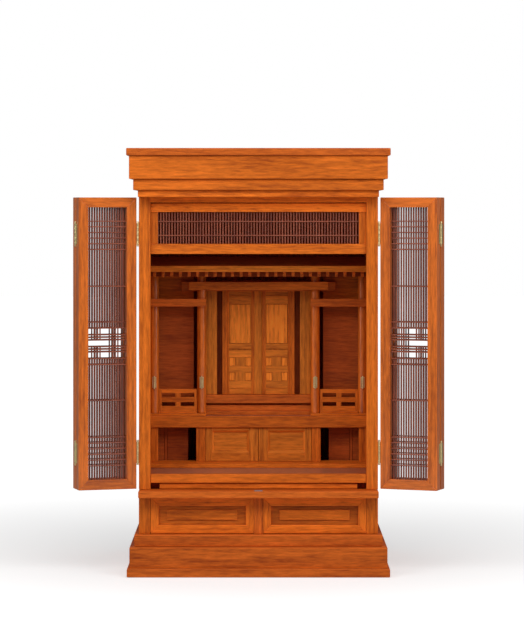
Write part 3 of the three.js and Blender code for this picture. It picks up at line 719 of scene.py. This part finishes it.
class ALTAR_OT_porch(Builder, bpy.types.Operator):
    """Pillars, lintel, tie beams, fences and bay panels in front of the shrine"""

    bl_idname = "altar.porch"
    bl_label = "Porch"

    SILL_HEIGHT = 4.3
    FENCE_X = (112, 181)
    FENCE_Y = (175, 181)
    SLOT_HEIGHT = 7.3
    SLOTS = (281.6, 298)
    SLOT_NEAR = 4.6
    SLOT_WIDTH = 25

    def fence(self, word, way):
        x, y, z = reach(f"fence_{word}")
        sill = board(x, y, (z[0], z[0] + self.SILL_HEIGHT), "X", "amber")
        foot = z[0] + self.SILL_HEIGHT
        low, high = self.SLOTS
        middle = sum(self.FENCE_X) / 2
        reach_out = self.SLOT_NEAR + self.SLOT_WIDTH
        rails = []
        for bottom, top in ((foot, low), (low + self.SLOT_HEIGHT, high), (high + self.SLOT_HEIGHT, z[1])):
            rails.append(board(sided(way, middle - reach_out, middle + reach_out), self.FENCE_Y,
                               (bottom, top), "X", "amber", -0.05))
        for near, far in ((self.FENCE_X[0], middle - reach_out), (middle + reach_out, self.FENCE_X[1])):
            rails.append(board(sided(way, near, far), self.FENCE_Y, (foot, z[1]), "Z", "amber", -0.05))
        for bottom in self.SLOTS:
            rails.append(board(sided(way, middle - self.SLOT_NEAR, middle + self.SLOT_NEAR), self.FENCE_Y,
                               (bottom, bottom + self.SLOT_HEIGHT), "Z", "amber", -0.05))
        lip = board(sided(way, self.FENCE_X[0], self.FENCE_X[1]), (self.FENCE_Y[0] - 2.5, self.FENCE_Y[0]),
                    (foot, foot + 3), "X", "amber")
        stand_for(f"fence_{word}", [eased([sill, lip], fine() * 1.6), eased(rails, fine())])

    def execute(self, context):
        radius = sizes().pillar_radius / MM
        for word, way in SIDES:
            for kind in ("outer", "inner"):
                x, y, z = reach(f"{kind}_pillar_{word}")
                pillar = turned(radius, sum(x) / 2, sum(y) / 2, z, "polished", sides=56)
                stand_for(f"{kind}_pillar_{word}", [pillar])
            x, y, z = reach(f"tie_beam_{word}")
            stand_for(f"tie_beam_{word}", [eased([board(x, y, z, "X", "russet")], ease() * 0.7)])
            self.fence(word, way)
            x, y, z = reach(f"bay_panel_{word}")
            split = sum(reach(f"tie_beam_{word}")[2]) / 2
            # Painted shade: the board below the tie beam takes the dark brown finish, and the one above it
            # is amber dimmed a little.
            boards = [
                board(x, y, (z[0], split), "X", "brown"),
                board(x, y, (split, z[1]), "X", "amber", -0.15),
            ]
            stand_for(f"bay_panel_{word}", [eased(boards, fine())])
        x, y, z = reach("lintel")
        stand_for("lintel", [eased([board(x, y, z, "X", "amber", -0.08)], ease() * 0.8)])
        return {"FINISHED"}


class ALTAR_OT_floors(Builder, bpy.types.Operator):
    """Platform with its beam, floor with its runners, threshold and lower posts"""

    bl_idname = "altar.floors"
    bl_label = "Floors"

    RUNNER_NEAR = 175
    RUNNER_BACK = 20
    RUNNER_FRONT = 2.3
    TRAY_ROOM = 1.4
    SILL = 7
    POST_IN = (96.9, 113.1)
    POST_OUT = 182.5
    POST_Y = (169, 184)

    def execute(self, context):
        # The platform's top takes the pale floor finish, a painted reflection.
        for name, of, tone in (("platform_beam", "amber", -0.04), ("platform", "rubbed", 0.0)):
            x, y, z = reach(name)
            stand_for(name, [eased([board(x, y, z, "X", of, tone)], ease())])

        x, y, z = reach("floor_board")
        mouth = reach("transom_frame")[0][1]
        under = reach("tray")[2][1] + self.TRAY_ROOM
        depth = reach("face_frame")[1][1]
        parts = [
            board(wide(mouth), (y[0], depth), (under, z[1]), "X", "amber"),
            # The inner floor takes the pale floor finish, a painted reflection.
            board(x, (depth, y[1]), (under, z[1]), "X", "rubbed"),
        ]
        runner = (depth + self.RUNNER_FRONT, y[1] - self.RUNNER_BACK)
        parts += [board(sided(way, self.RUNNER_NEAR, mouth), runner, (z[0], under), "Y", "brown")
                  for _, way in SIDES]
        stand_for("floor_board", [eased(parts, ease())])

        x, y, z = reach("lower_front_frame")
        sill = z[0] + self.SILL
        posts = [board(sided(way, *limits), self.POST_Y, (sill, z[1]), "Z", "amber", -0.06)
                 for _, way in SIDES for limits in (self.POST_IN, (self.POST_OUT, x[1]))]
        threshold = board(x, y, (z[0], sill), "X", "amber")
        stand_for("lower_front_frame", [eased([threshold, *posts], ease())])
        return {"FINISHED"}


def bead_frame(x, z, y, width, of, way_back=0.0):
    """A mitred bead round a field, with its face sloping back towards the field."""
    made = []
    for run, inside, xs, zs in (
        ("X", {"Z": 1}, x, (z[0], z[0] + width)),
        ("X", {"Z": 0}, x, (z[1] - width, z[1])),
        ("Z", {"X": 1}, (x[0], x[0] + width), z),
        ("Z", {"X": 0}, (x[1] - width, x[1]), z),
    ):
        one = mitred(xs, y, zs, run, inside, width, of=of, tone=0.08)
        if way_back:
            shift_corners(one, {"Y": 0, **inside}, (0, way_back, 0))
        made.append(one)
    return made


class ALTAR_OT_lower_doors(Builder, bpy.types.Operator):
    """Panelled doors of the lower store and the panels beside them"""

    bl_idname = "altar.lower_doors"
    bl_label = "Lower Doors"

    MEETING = 17
    OUTER = 12
    BOTTOM = 16
    TOP = 5.5
    SUNK = 5
    BEAD = 3.2
    SIDE_BEAD = 168.5

    def execute(self, context):
        for word, way in SIDES:
            x, y, z = reach(f"lower_door_{word}")
            near, far = (x[0], x[1]) if way > 0 else (-x[1], -x[0])
            field = sided(way, near + self.MEETING, far - self.OUTER)
            field_z = (z[0] + self.BOTTOM, z[1] - self.TOP)
            members = [
                board(sided(way, near, near + self.MEETING), y, z, "Z", "honey"),
                board(sided(way, far - self.OUTER, far), y, z, "Z", "honey", -0.08),
                board(field, y, (z[0], field_z[0]), "X", "honey"),
                board(field, y, (field_z[1], z[1]), "X", "honey"),
            ]
            bead = bead_frame(field, field_z, (y[0] + 0.6, y[0] + self.SUNK + 0.5), self.BEAD, "honey", 3.2)
            panel = board(field, (y[0] + self.SUNK, y[1] - 2), field_z, "X", "honey", -0.08)
            stand_for(f"lower_door_{word}", [
                eased(members, fine() * 1.6), eased(bead, fine() * 0.5), eased([panel], fine())])

            x, y, z = reach(f"lower_panel_{word}")
            outer = reach("lower_front_frame")[0][1]
            near, far = (x[0], x[1]) if way > 0 else (-x[1], -x[0])
            bead = self.SIDE_BEAD
            parts = [
                board(sided(way, near, bead - 2.2), (y[0] + 1, y[1]), z, "X", "brown"),
                board(sided(way, bead - 1.2, bead + 2.8), y, z, "Z", "brown", 0.05),
                board(sided(way, bead + 3.8, min(far, outer)), (y[0] + 1, y[1]), z, "X", "brown"),
                board(sided(way, near, far), (y[0] + 2.4, y[1]), z, "X", "brown", -0.2),
            ]
            stand_for(f"lower_panel_{word}", [eased(parts, fine())])
        return {"FINISHED"}


class ALTAR_OT_shrine(Builder, bpy.types.Operator):
    """Inner shrine: its steps, floor, posts, boards and beam"""

    bl_idname = "altar.shrine"
    bl_label = "Inner Shrine"

    TREADS = ((0, 7.2), (6.7, 17.8), (14.7, 21.4))  # where each step starts and how high it ends
    WALL = 5
    TOP = 7
    EAVE = 8.5
    BOARD_IN = 75.9
    BOARD_DEPTH = 6
    POST = (56.8, 66)
    POST_Y = (7, 26)
    LINING = 4
    BEAM = 16.7

    def execute(self, context):
        x, y, z = reach("shrine_floor")
        stand_for("shrine_floor", [eased([board(x, y, z, "X", "russet")], ease())])

        x, y, z = reach("shrine_steps")
        parts = []
        foot = z[0]
        for start, top in self.TREADS:
            parts.append(board(x, (y[0] + start, y[1]), (foot, z[0] + top), "X", "russet"))
            foot = z[0] + top
        stand_for("shrine_steps", [eased(parts, ease() * 0.7)])

        beam_x, beam_y, z = reach("shrine_case")
        half = reach("shrine_floor")[0][1]
        front, back = beam_y[0] + self.EAVE, beam_y[1]
        beam_low = z[1] - self.BEAM
        inner = half - self.WALL
        low = (z[0], beam_low)
        board_y = (front, front + self.BOARD_DEPTH)
        post_y = (front + self.POST_Y[0], front + self.POST_Y[1])
        lining_y = (post_y[1], post_y[1] + self.LINING)
        parts = []
        for _, way in SIDES:
            parts += [
                board(sided(way, self.BOARD_IN, half), board_y, low, "Z", "honey", -0.05),
                board(sided(way, inner, half), (board_y[1], back), z, "Z", "honey", -0.1),
                board(sided(way, *self.POST), post_y, low, "Z", "amber", -0.1),
                # The lining behind the slits takes the dark brown finish: painted shade in the slits.
                board(sided(way, self.POST[0], inner), lining_y, z, "Z", "brown"),
            ]
        top = z[1] - self.TOP
        parts += [
            board(wide(inner), (back - self.WALL, back), z, "Z", "honey"),
            board(wide(inner), (front, back - self.WALL), (top, z[1]), "X", "honey"),
            board(wide(self.POST[1]), (post_y[0], front + 18), (beam_low, top), "X", "honey"),
            board(beam_x, (beam_y[0], front + 1), (beam_low, z[1]), "X", "russet", -0.1),
        ]
        stand_for("shrine_case", [eased(parts, ease() * 0.7)])
        return {"FINISHED"}


class ALTAR_OT_shrine_doors(Builder, bpy.types.Operator):
    """Pair of panelled doors of the inner shrine"""

    bl_idname = "altar.shrine_doors"
    bl_label = "Shrine Doors"

    RELIEF = 2.5
    FIELD = {"left": (-53.6, -13.2), "right": (13.4, 53.6)}
    FIELD_TONE = {"left": 0.42, "right": 0.65}
    RAILS = ((312.6, 325.3), (341.7, 352.6), (369, 381.6), (384.6, 393.6), (466.6, 481.2), (489, 490))
    SQUARES = ((325.3, 341.7), (352.6, 369))
    SQUARE = 11.4
    PANEL = (393.6, 466.6)
    MARGIN = 1.2
    ASTRAGAL = (-7.5, 6)

    def execute(self, context):
        for word, way in SIDES:
            x, y, z = reach(f"shrine_door_{word}")
            low, high = self.FIELD[word]
            proud = (y[0], y[0] + self.RELIEF)
            tone = self.FIELD_TONE[word]
            members = [
                board((x[0], low), proud, z, "Z", "amber", -0.05),
                board((high, x[1]), proud, z, "Z", "amber", -0.05),
                board((low, high), proud, (z[0], z[0] + 1), "X", "honey"),
            ]
            members += [board((low, high), proud, rail, "X", "honey", 0.15) for rail in self.RAILS]
            members += [board((low + self.SQUARE, high - self.SQUARE), proud, rows, "Z", "honey")
                        for rows in self.SQUARES]
            panel_z = (self.PANEL[0] + self.MARGIN, self.PANEL[1] - self.MARGIN)
            panel_x = (low + self.MARGIN, high - self.MARGIN)
            sunk = (y[0] + 1.6, y[1])
            fields = [
                board(panel_x, (y[0] + 1.1, y[1]), panel_z, "Z", "honey", tone),
                board((low, high), sunk, (self.RAILS[4][1], self.RAILS[5][0]), "X", "honey", 0.05),
                board((low, high), sunk, (z[0] + 1, self.RAILS[0][0]), "X", "honey", 0.1),
            ]
            for rows in self.SQUARES:
                for start in (low, high - self.SQUARE):
                    fields.append(board((start + 0.8, start + self.SQUARE - 0.8), (y[0] + 1.4, y[1]),
                                        (rows[0] + 0.8, rows[1] - 0.8), "Z", "honey", tone))
            backing = board(x, (y[0] + self.RELIEF, y[1]), z, "Z", "honey", -0.2)
            parts = [eased(members, fine()), eased(fields, fine()), eased([backing], fine())]
            if word == "left":
                parts.append(eased([board(self.ASTRAGAL, (y[0] - 0.2, y[0] + 1.4), z, "Z", "honey", -0.02)],
                                   fine() * 1.3))
            stand_for(f"shrine_door_{word}", parts)
        return {"FINISHED"}


class ALTAR_OT_tray_and_drawers(Builder, bpy.types.Operator):
    """Pull-out tray and the two drawers with their mitred fronts"""

    bl_idname = "altar.tray_and_drawers"
    bl_label = "Tray and Drawers"

    FACE = 16
    SUNK = 5
    BOTTOM = 14.5
    TOP = 15.5
    RAISED = (15, 8.6, 7.3)
    BOX_SIDE = 8
    BOX_FLOOR = 4
    BOX_TOP = 124
    TRAY_NOSE = 14

    def drawer(self, word, way):
        x, y, z = reach(f"drawer_{word}")
        width = sizes().drawer_member / MM
        face = (y[0], y[0] + self.FACE)
        low, high = z[0] + self.BOTTOM, z[1] - self.TOP
        # The members' tones are raised, most on the top member: painted light against the shade under the
        # waist board.
        members = [
            mitred(x, face, (z[0], low), "X", {"Z": 1}, width, of="amber", tone=0.15),
            mitred(x, face, (high, z[1]), "X", {"Z": 0}, width, of="amber", tone=0.35),
        ]
        members += [
            mitred(edge, face, z, "Z", {"X": end}, self.BOTTOM, ends=(0,), of="amber", tone=0.1)
            for edge, end in (((x[0], x[0] + width), 1), ((x[1] - width, x[1]), 0))
        ]
        for member, inner in ((members[2], {"X": 1}), (members[3], {"X": 0})):
            shift_corners(member, {"Z": 1, **inner}, (0, 0, -self.TOP))
        field_x = (x[0] + width, x[1] - width)
        # The sunk field's tone is lowered by 0.22: painted shade in the recess round the raised panel.
        panel = board(field_x, (y[0] + self.SUNK, face[1]), (low, high), "X", "amber", -0.22)
        side, bottom, top = self.RAISED
        raised = board((field_x[0] + side, field_x[1] - side), (y[0] + 2, y[0] + self.SUNK + 1),
                       (low + bottom, high - top), "X", "amber", -0.05)
        box_x = (x[0] + 2, x[1] - 2)
        box_y = (face[1], y[1])
        floor = reach("drawer_case")[2][0] + 4.5
        inner_x = (box_x[0] + self.BOX_SIDE, box_x[1] - self.BOX_SIDE)
        inner_y = box_y[1] - self.BOX_SIDE
        tall = (floor, self.BOX_TOP)
        box = [
            board((box_x[0], inner_x[0]), box_y, tall, "Y", "honey"),
            board((inner_x[1], box_x[1]), box_y, tall, "Y", "honey"),
            board(inner_x, (inner_y, box_y[1]), tall, "X", "honey"),
            board(inner_x, (box_y[0], inner_y), (floor, floor + self.BOX_FLOOR), "X", "honey", 0.1),
        ]
        front = [eased(members, ease()), eased([panel], fine()), eased([raised], ease())]
        stand_for(f"drawer_{word}", [*front, eased(box, ease() * 0.7)])

    def execute(self, context):
        for word, way in SIDES:
            self.drawer(word, way)
        x, y, z = reach("tray")
        step = y[0] + self.TRAY_NOSE
        front = board(x, (y[0], step), z, "X", "amber", 0.02)
        top = board(x, (step, y[1]), (z[0] + 1, z[1] - 0.6), "X", "honey", 0.05)
        stand_for("tray", [eased([front, top], ease() * 0.8)])
        return {"FINISHED"}


# ---------------------------------------------------------------- folding doors
def about(joint, degrees):
    """The turn by so many degrees about a joint's axis."""
    at = Matrix.Translation(joint["pos_m"])
    return at @ Matrix.Rotation(math.radians(degrees), 4, Vector(joint["axis"])) @ at.inverted()


def leaf_places(word):
    """Where a shut side leaf and a shut centre leaf go as the doors stand at rest."""
    swing, fold = JOINT[f"{word}_door_swing"], JOINT[f"{word}_door_fold"]
    side_leaf = about(swing, -swing["range_deg"][0])
    return {"side": side_leaf, "centre": about(fold, -fold["range_deg"][0]) @ side_leaf}


LEAF_BOTTOM, LEAF_TOP = reach("right_side_leaf_frame")[2]
LEAF_Y = (-20.5, -0.5)
FOLD_GAP = 1.6
MEETING = 0.6
CASE_HALF = reach("face_frame")[0][1]
DOOR_EDGE = 16.5  # how far the door's own hinge plates reach along its edge


class ALTAR_OT_folding_doors(Builder, bpy.types.Operator):
    """Four lattice leaves that fold in pairs"""

    bl_idname = "altar.folding_doors"
    bl_label = "Folding Doors"

    STRIPS = 14
    RIM = 1
    BARS_FROM_MIDDLE = (5.8, 10.4, 15, 26.6, 37.2, 100, 164.6, 174.5, 184.4, 194.3, 204.2, 214.1)
    BAND = 26.6
    ROW = 5.8
    STOPS_AT_BAND = (1, 2, 6, 7, 8, 9, 13, 14)
    STOPS_AT_ROW = (3, 4, 5)
    BAR_DEPTH = 7
    STRIP_THICK = 2.4

    def mitred_frame(self, x, member):
        z = (LEAF_BOTTOM, LEAF_TOP)
        rails = [
            mitred(x, LEAF_Y, (z[0], z[0] + member), "X", {"Z": 1}, member, of="polished"),
            mitred(x, LEAF_Y, (z[1] - member, z[1]), "X", {"Z": 0}, member, of="polished"),
            mitred((x[0], x[0] + member), LEAF_Y, z, "Z", {"X": 1}, member, of="polished"),
            mitred((x[1] - member, x[1]), LEAF_Y, z, "Z", {"X": 0}, member, of="polished"),
        ]
        return eased(rails, ease())

    def bars(self, x, y, bar):
        middle = (LEAF_BOTTOM + LEAF_TOP) / 2
        one = eased([board(x, y, (middle - bar / 2, middle + bar / 2), "X", "umber", 0.1)], fine())
        made = [copied(one, z=way * offset) for offset in self.BARS_FROM_MIDDLE for way in (-1, 1)]
        bpy.data.objects.remove(one)
        return made

    def uprights(self, fold, away, width, y, z):
        middle = (LEAF_BOTTOM + LEAF_TOP) / 2
        strip = sizes().strip / MM
        pitch = (width - 2 * self.RIM + strip) / (self.STRIPS + 1)
        patterns = {}
        made = []
        for i in range(1, self.STRIPS + 1):
            half = self.BAND if i in self.STOPS_AT_BAND else self.ROW if i in self.STOPS_AT_ROW else 0
            near = fold + away * (self.RIM + i * pitch - strip)
            spans = [(z[0], middle - half), (middle + half, z[1])] if half else [z]
            for span in spans:
                if span not in patterns:
                    limits = sorted((near, near + away * strip))
                    patterns[span] = (near, eased([board(limits, y, span, "Z", "umber")], fine()))
                    made.append(patterns[span][1])
                else:
                    made.append(copied(patterns[span][1], x=near - patterns[span][0]))
        return made

    def leaf(self, word, kind, x, fold, where):
        member = sizes().leaf_member / MM
        bar = sizes().bar / MM
        prefix = f"{word}_{kind}_leaf"
        open_x = (x[0] + member, x[1] - member)
        bar_y = (LEAF_Y[1] - self.BAR_DEPTH - bar, LEAF_Y[1] - self.BAR_DEPTH)
        stand_for(f"{prefix}_frame", [self.mitred_frame(x, member)], where)

        away = 1 if abs(fold - x[0]) < abs(fold - x[1]) else -1
        start = (open_x[0] if away > 0 else open_x[1]) + away * FIT
        width = open_x[1] - open_x[0] - 2 * FIT
        strip_y = (bar_y[0] - self.STRIP_THICK, bar_y[0])
        z = (LEAF_BOTTOM + member, LEAF_TOP - member)
        stand_for(f"{prefix}_lattice", [
            *self.bars(open_x, bar_y, bar), *self.uprights(start, away, width, strip_y, z)], where)

    def execute(self, context):
        for word, way in SIDES:
            places = leaf_places(word)
            fold = way * CASE_HALF / 2
            outer = sorted((way * CASE_HALF, fold + way * FOLD_GAP / 2))
            inner = sorted((way * MEETING, fold - way * FOLD_GAP / 2))
            self.leaf(word, "side", outer, fold, places["side"])
            self.leaf(word, "centre", inner, fold, places["centre"])
        return {"FINISHED"}


class ALTAR_OT_hinges(Builder, bpy.types.Operator):
    """Brass butt hinges of the folding doors, with knuckles, plates and screws"""

    bl_idname = "altar.hinges"
    bl_label = "Hinges"

    KNUCKLES = 5
    KNUCKLE_GAP = 0.35
    RADIUS = 1.75
    PLATE = 0.6
    REACH = 11
    SHORT = 3
    TAPER = 2.4
    SCREW = 1.3

    def barrel(self, x, y, z):
        """Knuckles of one hinge, with a fine gap between each two and a pin through them."""
        length = (z[1] - z[0] - self.KNUCKLE_GAP * (self.KNUCKLES - 1)) / self.KNUCKLES
        one = turned(self.RADIUS, x, y, (z[0], z[0] + length), "brass", sides=20)
        step = length + self.KNUCKLE_GAP
        knuckles = [one, *(copied(one, z=i * step) for i in range(1, self.KNUCKLES))]
        return [*knuckles, turned(self.RADIUS * 0.6, x, y, z, "brass", sides=16)]

    def plate(self, x, y, z, face):
        """One leaf of a hinge, with three screws. face is the side of it that shows the screws."""
        z = (z[0] + self.SHORT, z[1] - self.SHORT)
        leaf = board(x, y, z, "Z", "brass")
        outer = int(y[1] > y[0])
        for end, way in ((0, 1), (1, -1)):
            shift_corners(leaf, {"Y": outer, "Z": end}, (0, 0, way * self.TAPER))
        made = [eased([leaf], fine() * 0.4)]
        edge = x[1] if face > 0 else x[0]
        bpy.ops.object.select_all(action="DESELECT")
        bpy.ops.mesh.primitive_cylinder_add(
            vertices=16, radius=self.SCREW * MM, depth=0.3 * MM, rotation=(0, math.pi / 2, 0),
            location=place(edge, (y[0] * 0.45 + y[1] * 0.55), (z[0] + z[1]) / 2))
        bpy.ops.object.transform_apply(location=True, rotation=True, scale=True)
        screw = bpy.context.object
        screw.data.materials.append(finish("brass"))
        lay_grain(screw)
        bpy.ops.object.modifier_add(type="BEVEL")
        screw.modifiers[-1].width = 0.12 * MM
        screw.modifiers[-1].segments = 2
        bpy.ops.object.modifier_apply(modifier=screw.modifiers[-1].name)
        reach_out = (z[1] - z[0]) * 0.34
        return [*made, screw, copied(screw, z=reach_out), copied(screw, z=-reach_out)]

    def execute(self, context):
        for word, way in SIDES:
            places = leaf_places(word)
            swing = JOINT[f"{word}_door_swing"]["pos_m"]
            pivot = (swing[0] / MM, (swing[1] - FRONT) / MM)
            fold = (way * CASE_HALF / 2, LEAF_Y[0] - 1.9)
            for level in ("upper", "lower"):
                z = reach(f"{word}_case_hinge_{level}")[2]
                near = CASE_HALF + 0.1
                strap = sided(way, near, near + self.PLATE + 0.4)
                case_name = f"{word}_case_hinge_{level}"
                stand_for(case_name, [*self.barrel(*pivot, z),
                                      *self.plate(strap, (pivot[1], self.REACH), z, way)])
                door_plate = self.plate(strap, (pivot[1], -DOOR_EDGE), z, way)
                moving = stand_for(f"{word}_side_leaf_frame", door_plate, places["side"],
                                   f"{word}_door_plate_{level}", hides=False)

                fold_name = f"{word}_fold_hinge_{level}"
                own = sorted((fold[0] + way * 0.1, fold[0] + way * (0.1 + self.PLATE)))
                other = sorted((fold[0] - way * 0.1, fold[0] - way * (0.1 + self.PLATE)))
                reach_y = (fold[1], fold[1] + self.REACH)
                stand_for(fold_name, [*self.barrel(*fold, z), *self.plate(own, reach_y, z, -way)],
                          places["side"])
                moving = stand_for(f"{word}_centre_leaf_frame", self.plate(other, reach_y, z, way),
                                   places["centre"], f"{word}_fold_plate_{level}", hides=False)
        return {"FINISHED"}


class ALTAR_OT_fittings(Builder, bpy.types.Operator):
    """Small brass strap fittings on the pillars above the fences"""

    bl_idname = "altar.fittings"
    bl_label = "Pillar Fittings"

    HEIGHT = 24
    BOTTOM = 313
    HALF = 3.6
    ROLL = 1.35
    ROLLS = 5
    PROUD = 0.9
    STRAP_SHORT = 2
    STUD = 0.8
    STUD_X = 2.5
    STUD_END = 4.5

    def execute(self, context):
        radius = sizes().pillar_radius / MM
        z = (self.BOTTOM, self.BOTTOM + self.HEIGHT)
        step = self.HEIGHT / self.ROLLS
        for word, way in SIDES:
            for kind in ("outer", "inner"):
                x, y, _ = reach(f"{kind}_pillar_{word}")
                middle = sum(x) / 2
                front = sum(y) / 2 - radius
                strap_z = (z[0] + self.STRAP_SHORT, z[1] - self.STRAP_SHORT)
                strap = board(wide(self.HALF), (front + 0.1, front + 1.6), strap_z, "Z", "brass")
                roll_z = (z[0] + 0.2, z[0] + step - 0.9)
                roll = turned(self.ROLL, 0, front - self.PROUD, roll_z, "brass", sides=14)
                stud = turned(self.STUD, 0, 0, (-0.3, 0.3), "brass", sides=12)
                stud.data.transform(Matrix.Translation(-place(0, 0, 0)))
                stud.data.transform(Matrix.Rotation(math.pi / 2, 4, "X"))
                first = place(-self.STUD_X, front - 0.1, z[0] + self.STUD_END)
                stud.data.transform(Matrix.Translation(first))
                studs = [copied(stud, x=across, z=(self.HEIGHT - 2 * self.STUD_END) / 3 * i)
                         for across in (0, 2 * self.STUD_X) for i in range(4)]
                bpy.data.objects.remove(stud)
                pin = turned(self.ROLL * 0.7, 0, front - self.PROUD, z, "brass", sides=14)
                parts = [eased([strap], fine()), pin, *studs, roll,
                         *(copied(roll, z=step * i) for i in range(1, self.ROLLS))]
                made = stand_for(f"{kind}_pillar_{word}", parts, Matrix.Translation((middle * MM, 0, 0)),
                                 f"{kind}_pillar_fitting_{word}", hides=False)
        return {"FINISHED"}


# ---------------------------------------------------------------- stage
class ALTAR_OT_stage(Builder, bpy.types.Operator):
    """Pale floor, soft studio light and the camera"""

    bl_idname = "altar.stage"
    bl_label = "Stage"

    def floor(self):
        bpy.ops.object.select_all(action="DESELECT")
        bpy.ops.mesh.primitive_plane_add(size=30, location=(0, 0, FRAME_BOX[0][2] - 0.0005))
        bpy.ops.object.transform_apply(location=True)
        made = bpy.context.object
        made.name = "floor"
        pale = bpy.data.materials.new("pale_floor")
        pale.use_nodes = True
        surface = pale.node_tree.nodes["Principled BSDF"]
        surface.inputs["Base Color"].default_value = (0.7, 0.7, 0.7, 1)
        surface.inputs["Roughness"].default_value = 0.9
        surface.inputs["Emission Color"].default_value = (1, 1, 1, 1)
        tree = pale.node_tree
        spot = node(tree, "ShaderNodeTexCoord", (-900, -300)).outputs["Object"]
        away = node(tree, "ShaderNodeVectorMath", (-700, -300), operation="LENGTH")
        tree.links.new(spot, away.inputs[0])
        glow = ramped(tree, away.outputs["Value"], 0.3, 1.5, 0.5, 0.95, (-400, -300))
        seen = node(tree, "ShaderNodeLightPath", (-400, -500)).outputs["Is Camera Ray"]
        strength = sums(tree, "MULTIPLY", glow, seen, (-200, -400))
        tree.links.new(strength, surface.inputs["Emission Strength"])
        made.data.materials.append(pale)

    def light(self, name, place_at, target, size, power):
        bpy.ops.object.light_add(type="AREA", location=place_at)
        made = bpy.context.object
        made.name = name
        made.data.shape = "RECTANGLE"
        made.data.size, made.data.size_y = size
        made.data.energy = power
        made.rotation_euler = (Vector(target) - Vector(place_at)).to_track_quat("-Z", "Y").to_euler()
        made.visible_camera = False

    def execute(self, context):
        settings = context.scene.altar_stage
        self.floor()
        self.light("key", (0.1, -2.0, 1.95), (0, 0, 0.35), (1.8, 1.2), settings.key)
        for way in (-1, 1):
            self.light(f"side_{way}", (way * 1.3, -1.5, 1.5), (0, 0, 0.55), (1.0, 1.0), settings.side)
            self.light(f"strip_{way}", (way * 1.75, -1.1, 0.75), (0, 0, 0.45), (0.3, 1.3), settings.strip)
        world = context.scene.world or bpy.data.worlds.new("surround")
        context.scene.world = world
        world.use_nodes = True
        tree = world.node_tree
        surround = tree.nodes["Background"]
        surround.inputs["Color"].default_value = (1, 1, 1, 1)
        seen = node(tree, "ShaderNodeLightPath", (-600, 0)).outputs["Is Camera Ray"]
        strength = ramped(tree, seen, 0, 1, settings.surround, 1, (-300, 0))
        tree.links.new(strength, surround.inputs["Strength"])

        bpy.ops.object.camera_add(
            location=(0.001, FRONT - settings.distance, settings.height), rotation=(math.pi / 2, 0, 0))
        camera = bpy.context.object
        camera.data.sensor_width = 36
        camera.data.lens = settings.lens
        camera.data.shift_x = 0.0047
        camera.data.shift_y = -0.172
        camera.data.clip_end = 60
        context.scene.camera = camera
        context.scene.view_settings.view_transform = "Standard"
        return {"FINISHED"}


class ALTAR_PT_panel(bpy.types.Panel):
    """Sizes, colours and steps of the altar cabinet"""

    bl_label = "Household Altar"
    bl_idname = "ALTAR_PT_panel"
    bl_space_type = "VIEW_3D"
    bl_region_type = "UI"
    bl_category = "Altar"

    def draw(self, context):
        layout = self.layout
        for title, settings in (("Joinery", context.scene.altar_joinery),
                                ("Finishes", context.scene.altar_finishes),
                                ("Stage", context.scene.altar_stage)):
            box = layout.box()
            box.label(text=title)
            for name in settings.__annotations__:
                box.prop(settings, name)
        for step in STEPS:
            layout.operator(step.bl_idname)


STEPS = (
    ALTAR_OT_plinth,
    ALTAR_OT_drawer_base,
    ALTAR_OT_case,
    ALTAR_OT_cornice,
    ALTAR_OT_transom,
    ALTAR_OT_eave,
    ALTAR_OT_porch,
    ALTAR_OT_floors,
    ALTAR_OT_lower_doors,
    ALTAR_OT_shrine,
    ALTAR_OT_shrine_doors,
    ALTAR_OT_tray_and_drawers,
    ALTAR_OT_folding_doors,
    ALTAR_OT_hinges,
    ALTAR_OT_fittings,
    ALTAR_OT_stage,
)
GROUPS = (AltarJoinery, AltarFinishes, AltarStage)


def register():
    for group in (*GROUPS, *STEPS, ALTAR_PT_panel):
        bpy.utils.register_class(group)
    bpy.types.Scene.altar_joinery = bpy.props.PointerProperty(type=AltarJoinery)
    bpy.types.Scene.altar_finishes = bpy.props.PointerProperty(type=AltarFinishes)
    bpy.types.Scene.altar_stage = bpy.props.PointerProperty(type=AltarStage)


def unregister():
    for name in ("altar_joinery", "altar_finishes", "altar_stage"):
        delattr(bpy.types.Scene, name)
    for group in reversed((*GROUPS, *STEPS, ALTAR_PT_panel)):
        bpy.utils.unregister_class(group)


def main():
    register()
    bpy.ops.altar.plinth()
    bpy.ops.altar.drawer_base()
    bpy.ops.altar.case()
    bpy.ops.altar.cornice()
    bpy.ops.altar.transom()
    bpy.ops.altar.eave()
    bpy.ops.altar.porch()
    bpy.ops.altar.floors()
    bpy.ops.altar.lower_doors()
    bpy.ops.altar.shrine()
    bpy.ops.altar.shrine_doors()
    bpy.ops.altar.tray_and_drawers()
    bpy.ops.altar.folding_doors()
    bpy.ops.altar.hinges()
    bpy.ops.altar.fittings()
    bpy.ops.altar.stage()


if __name__ == "__main__":
    main()
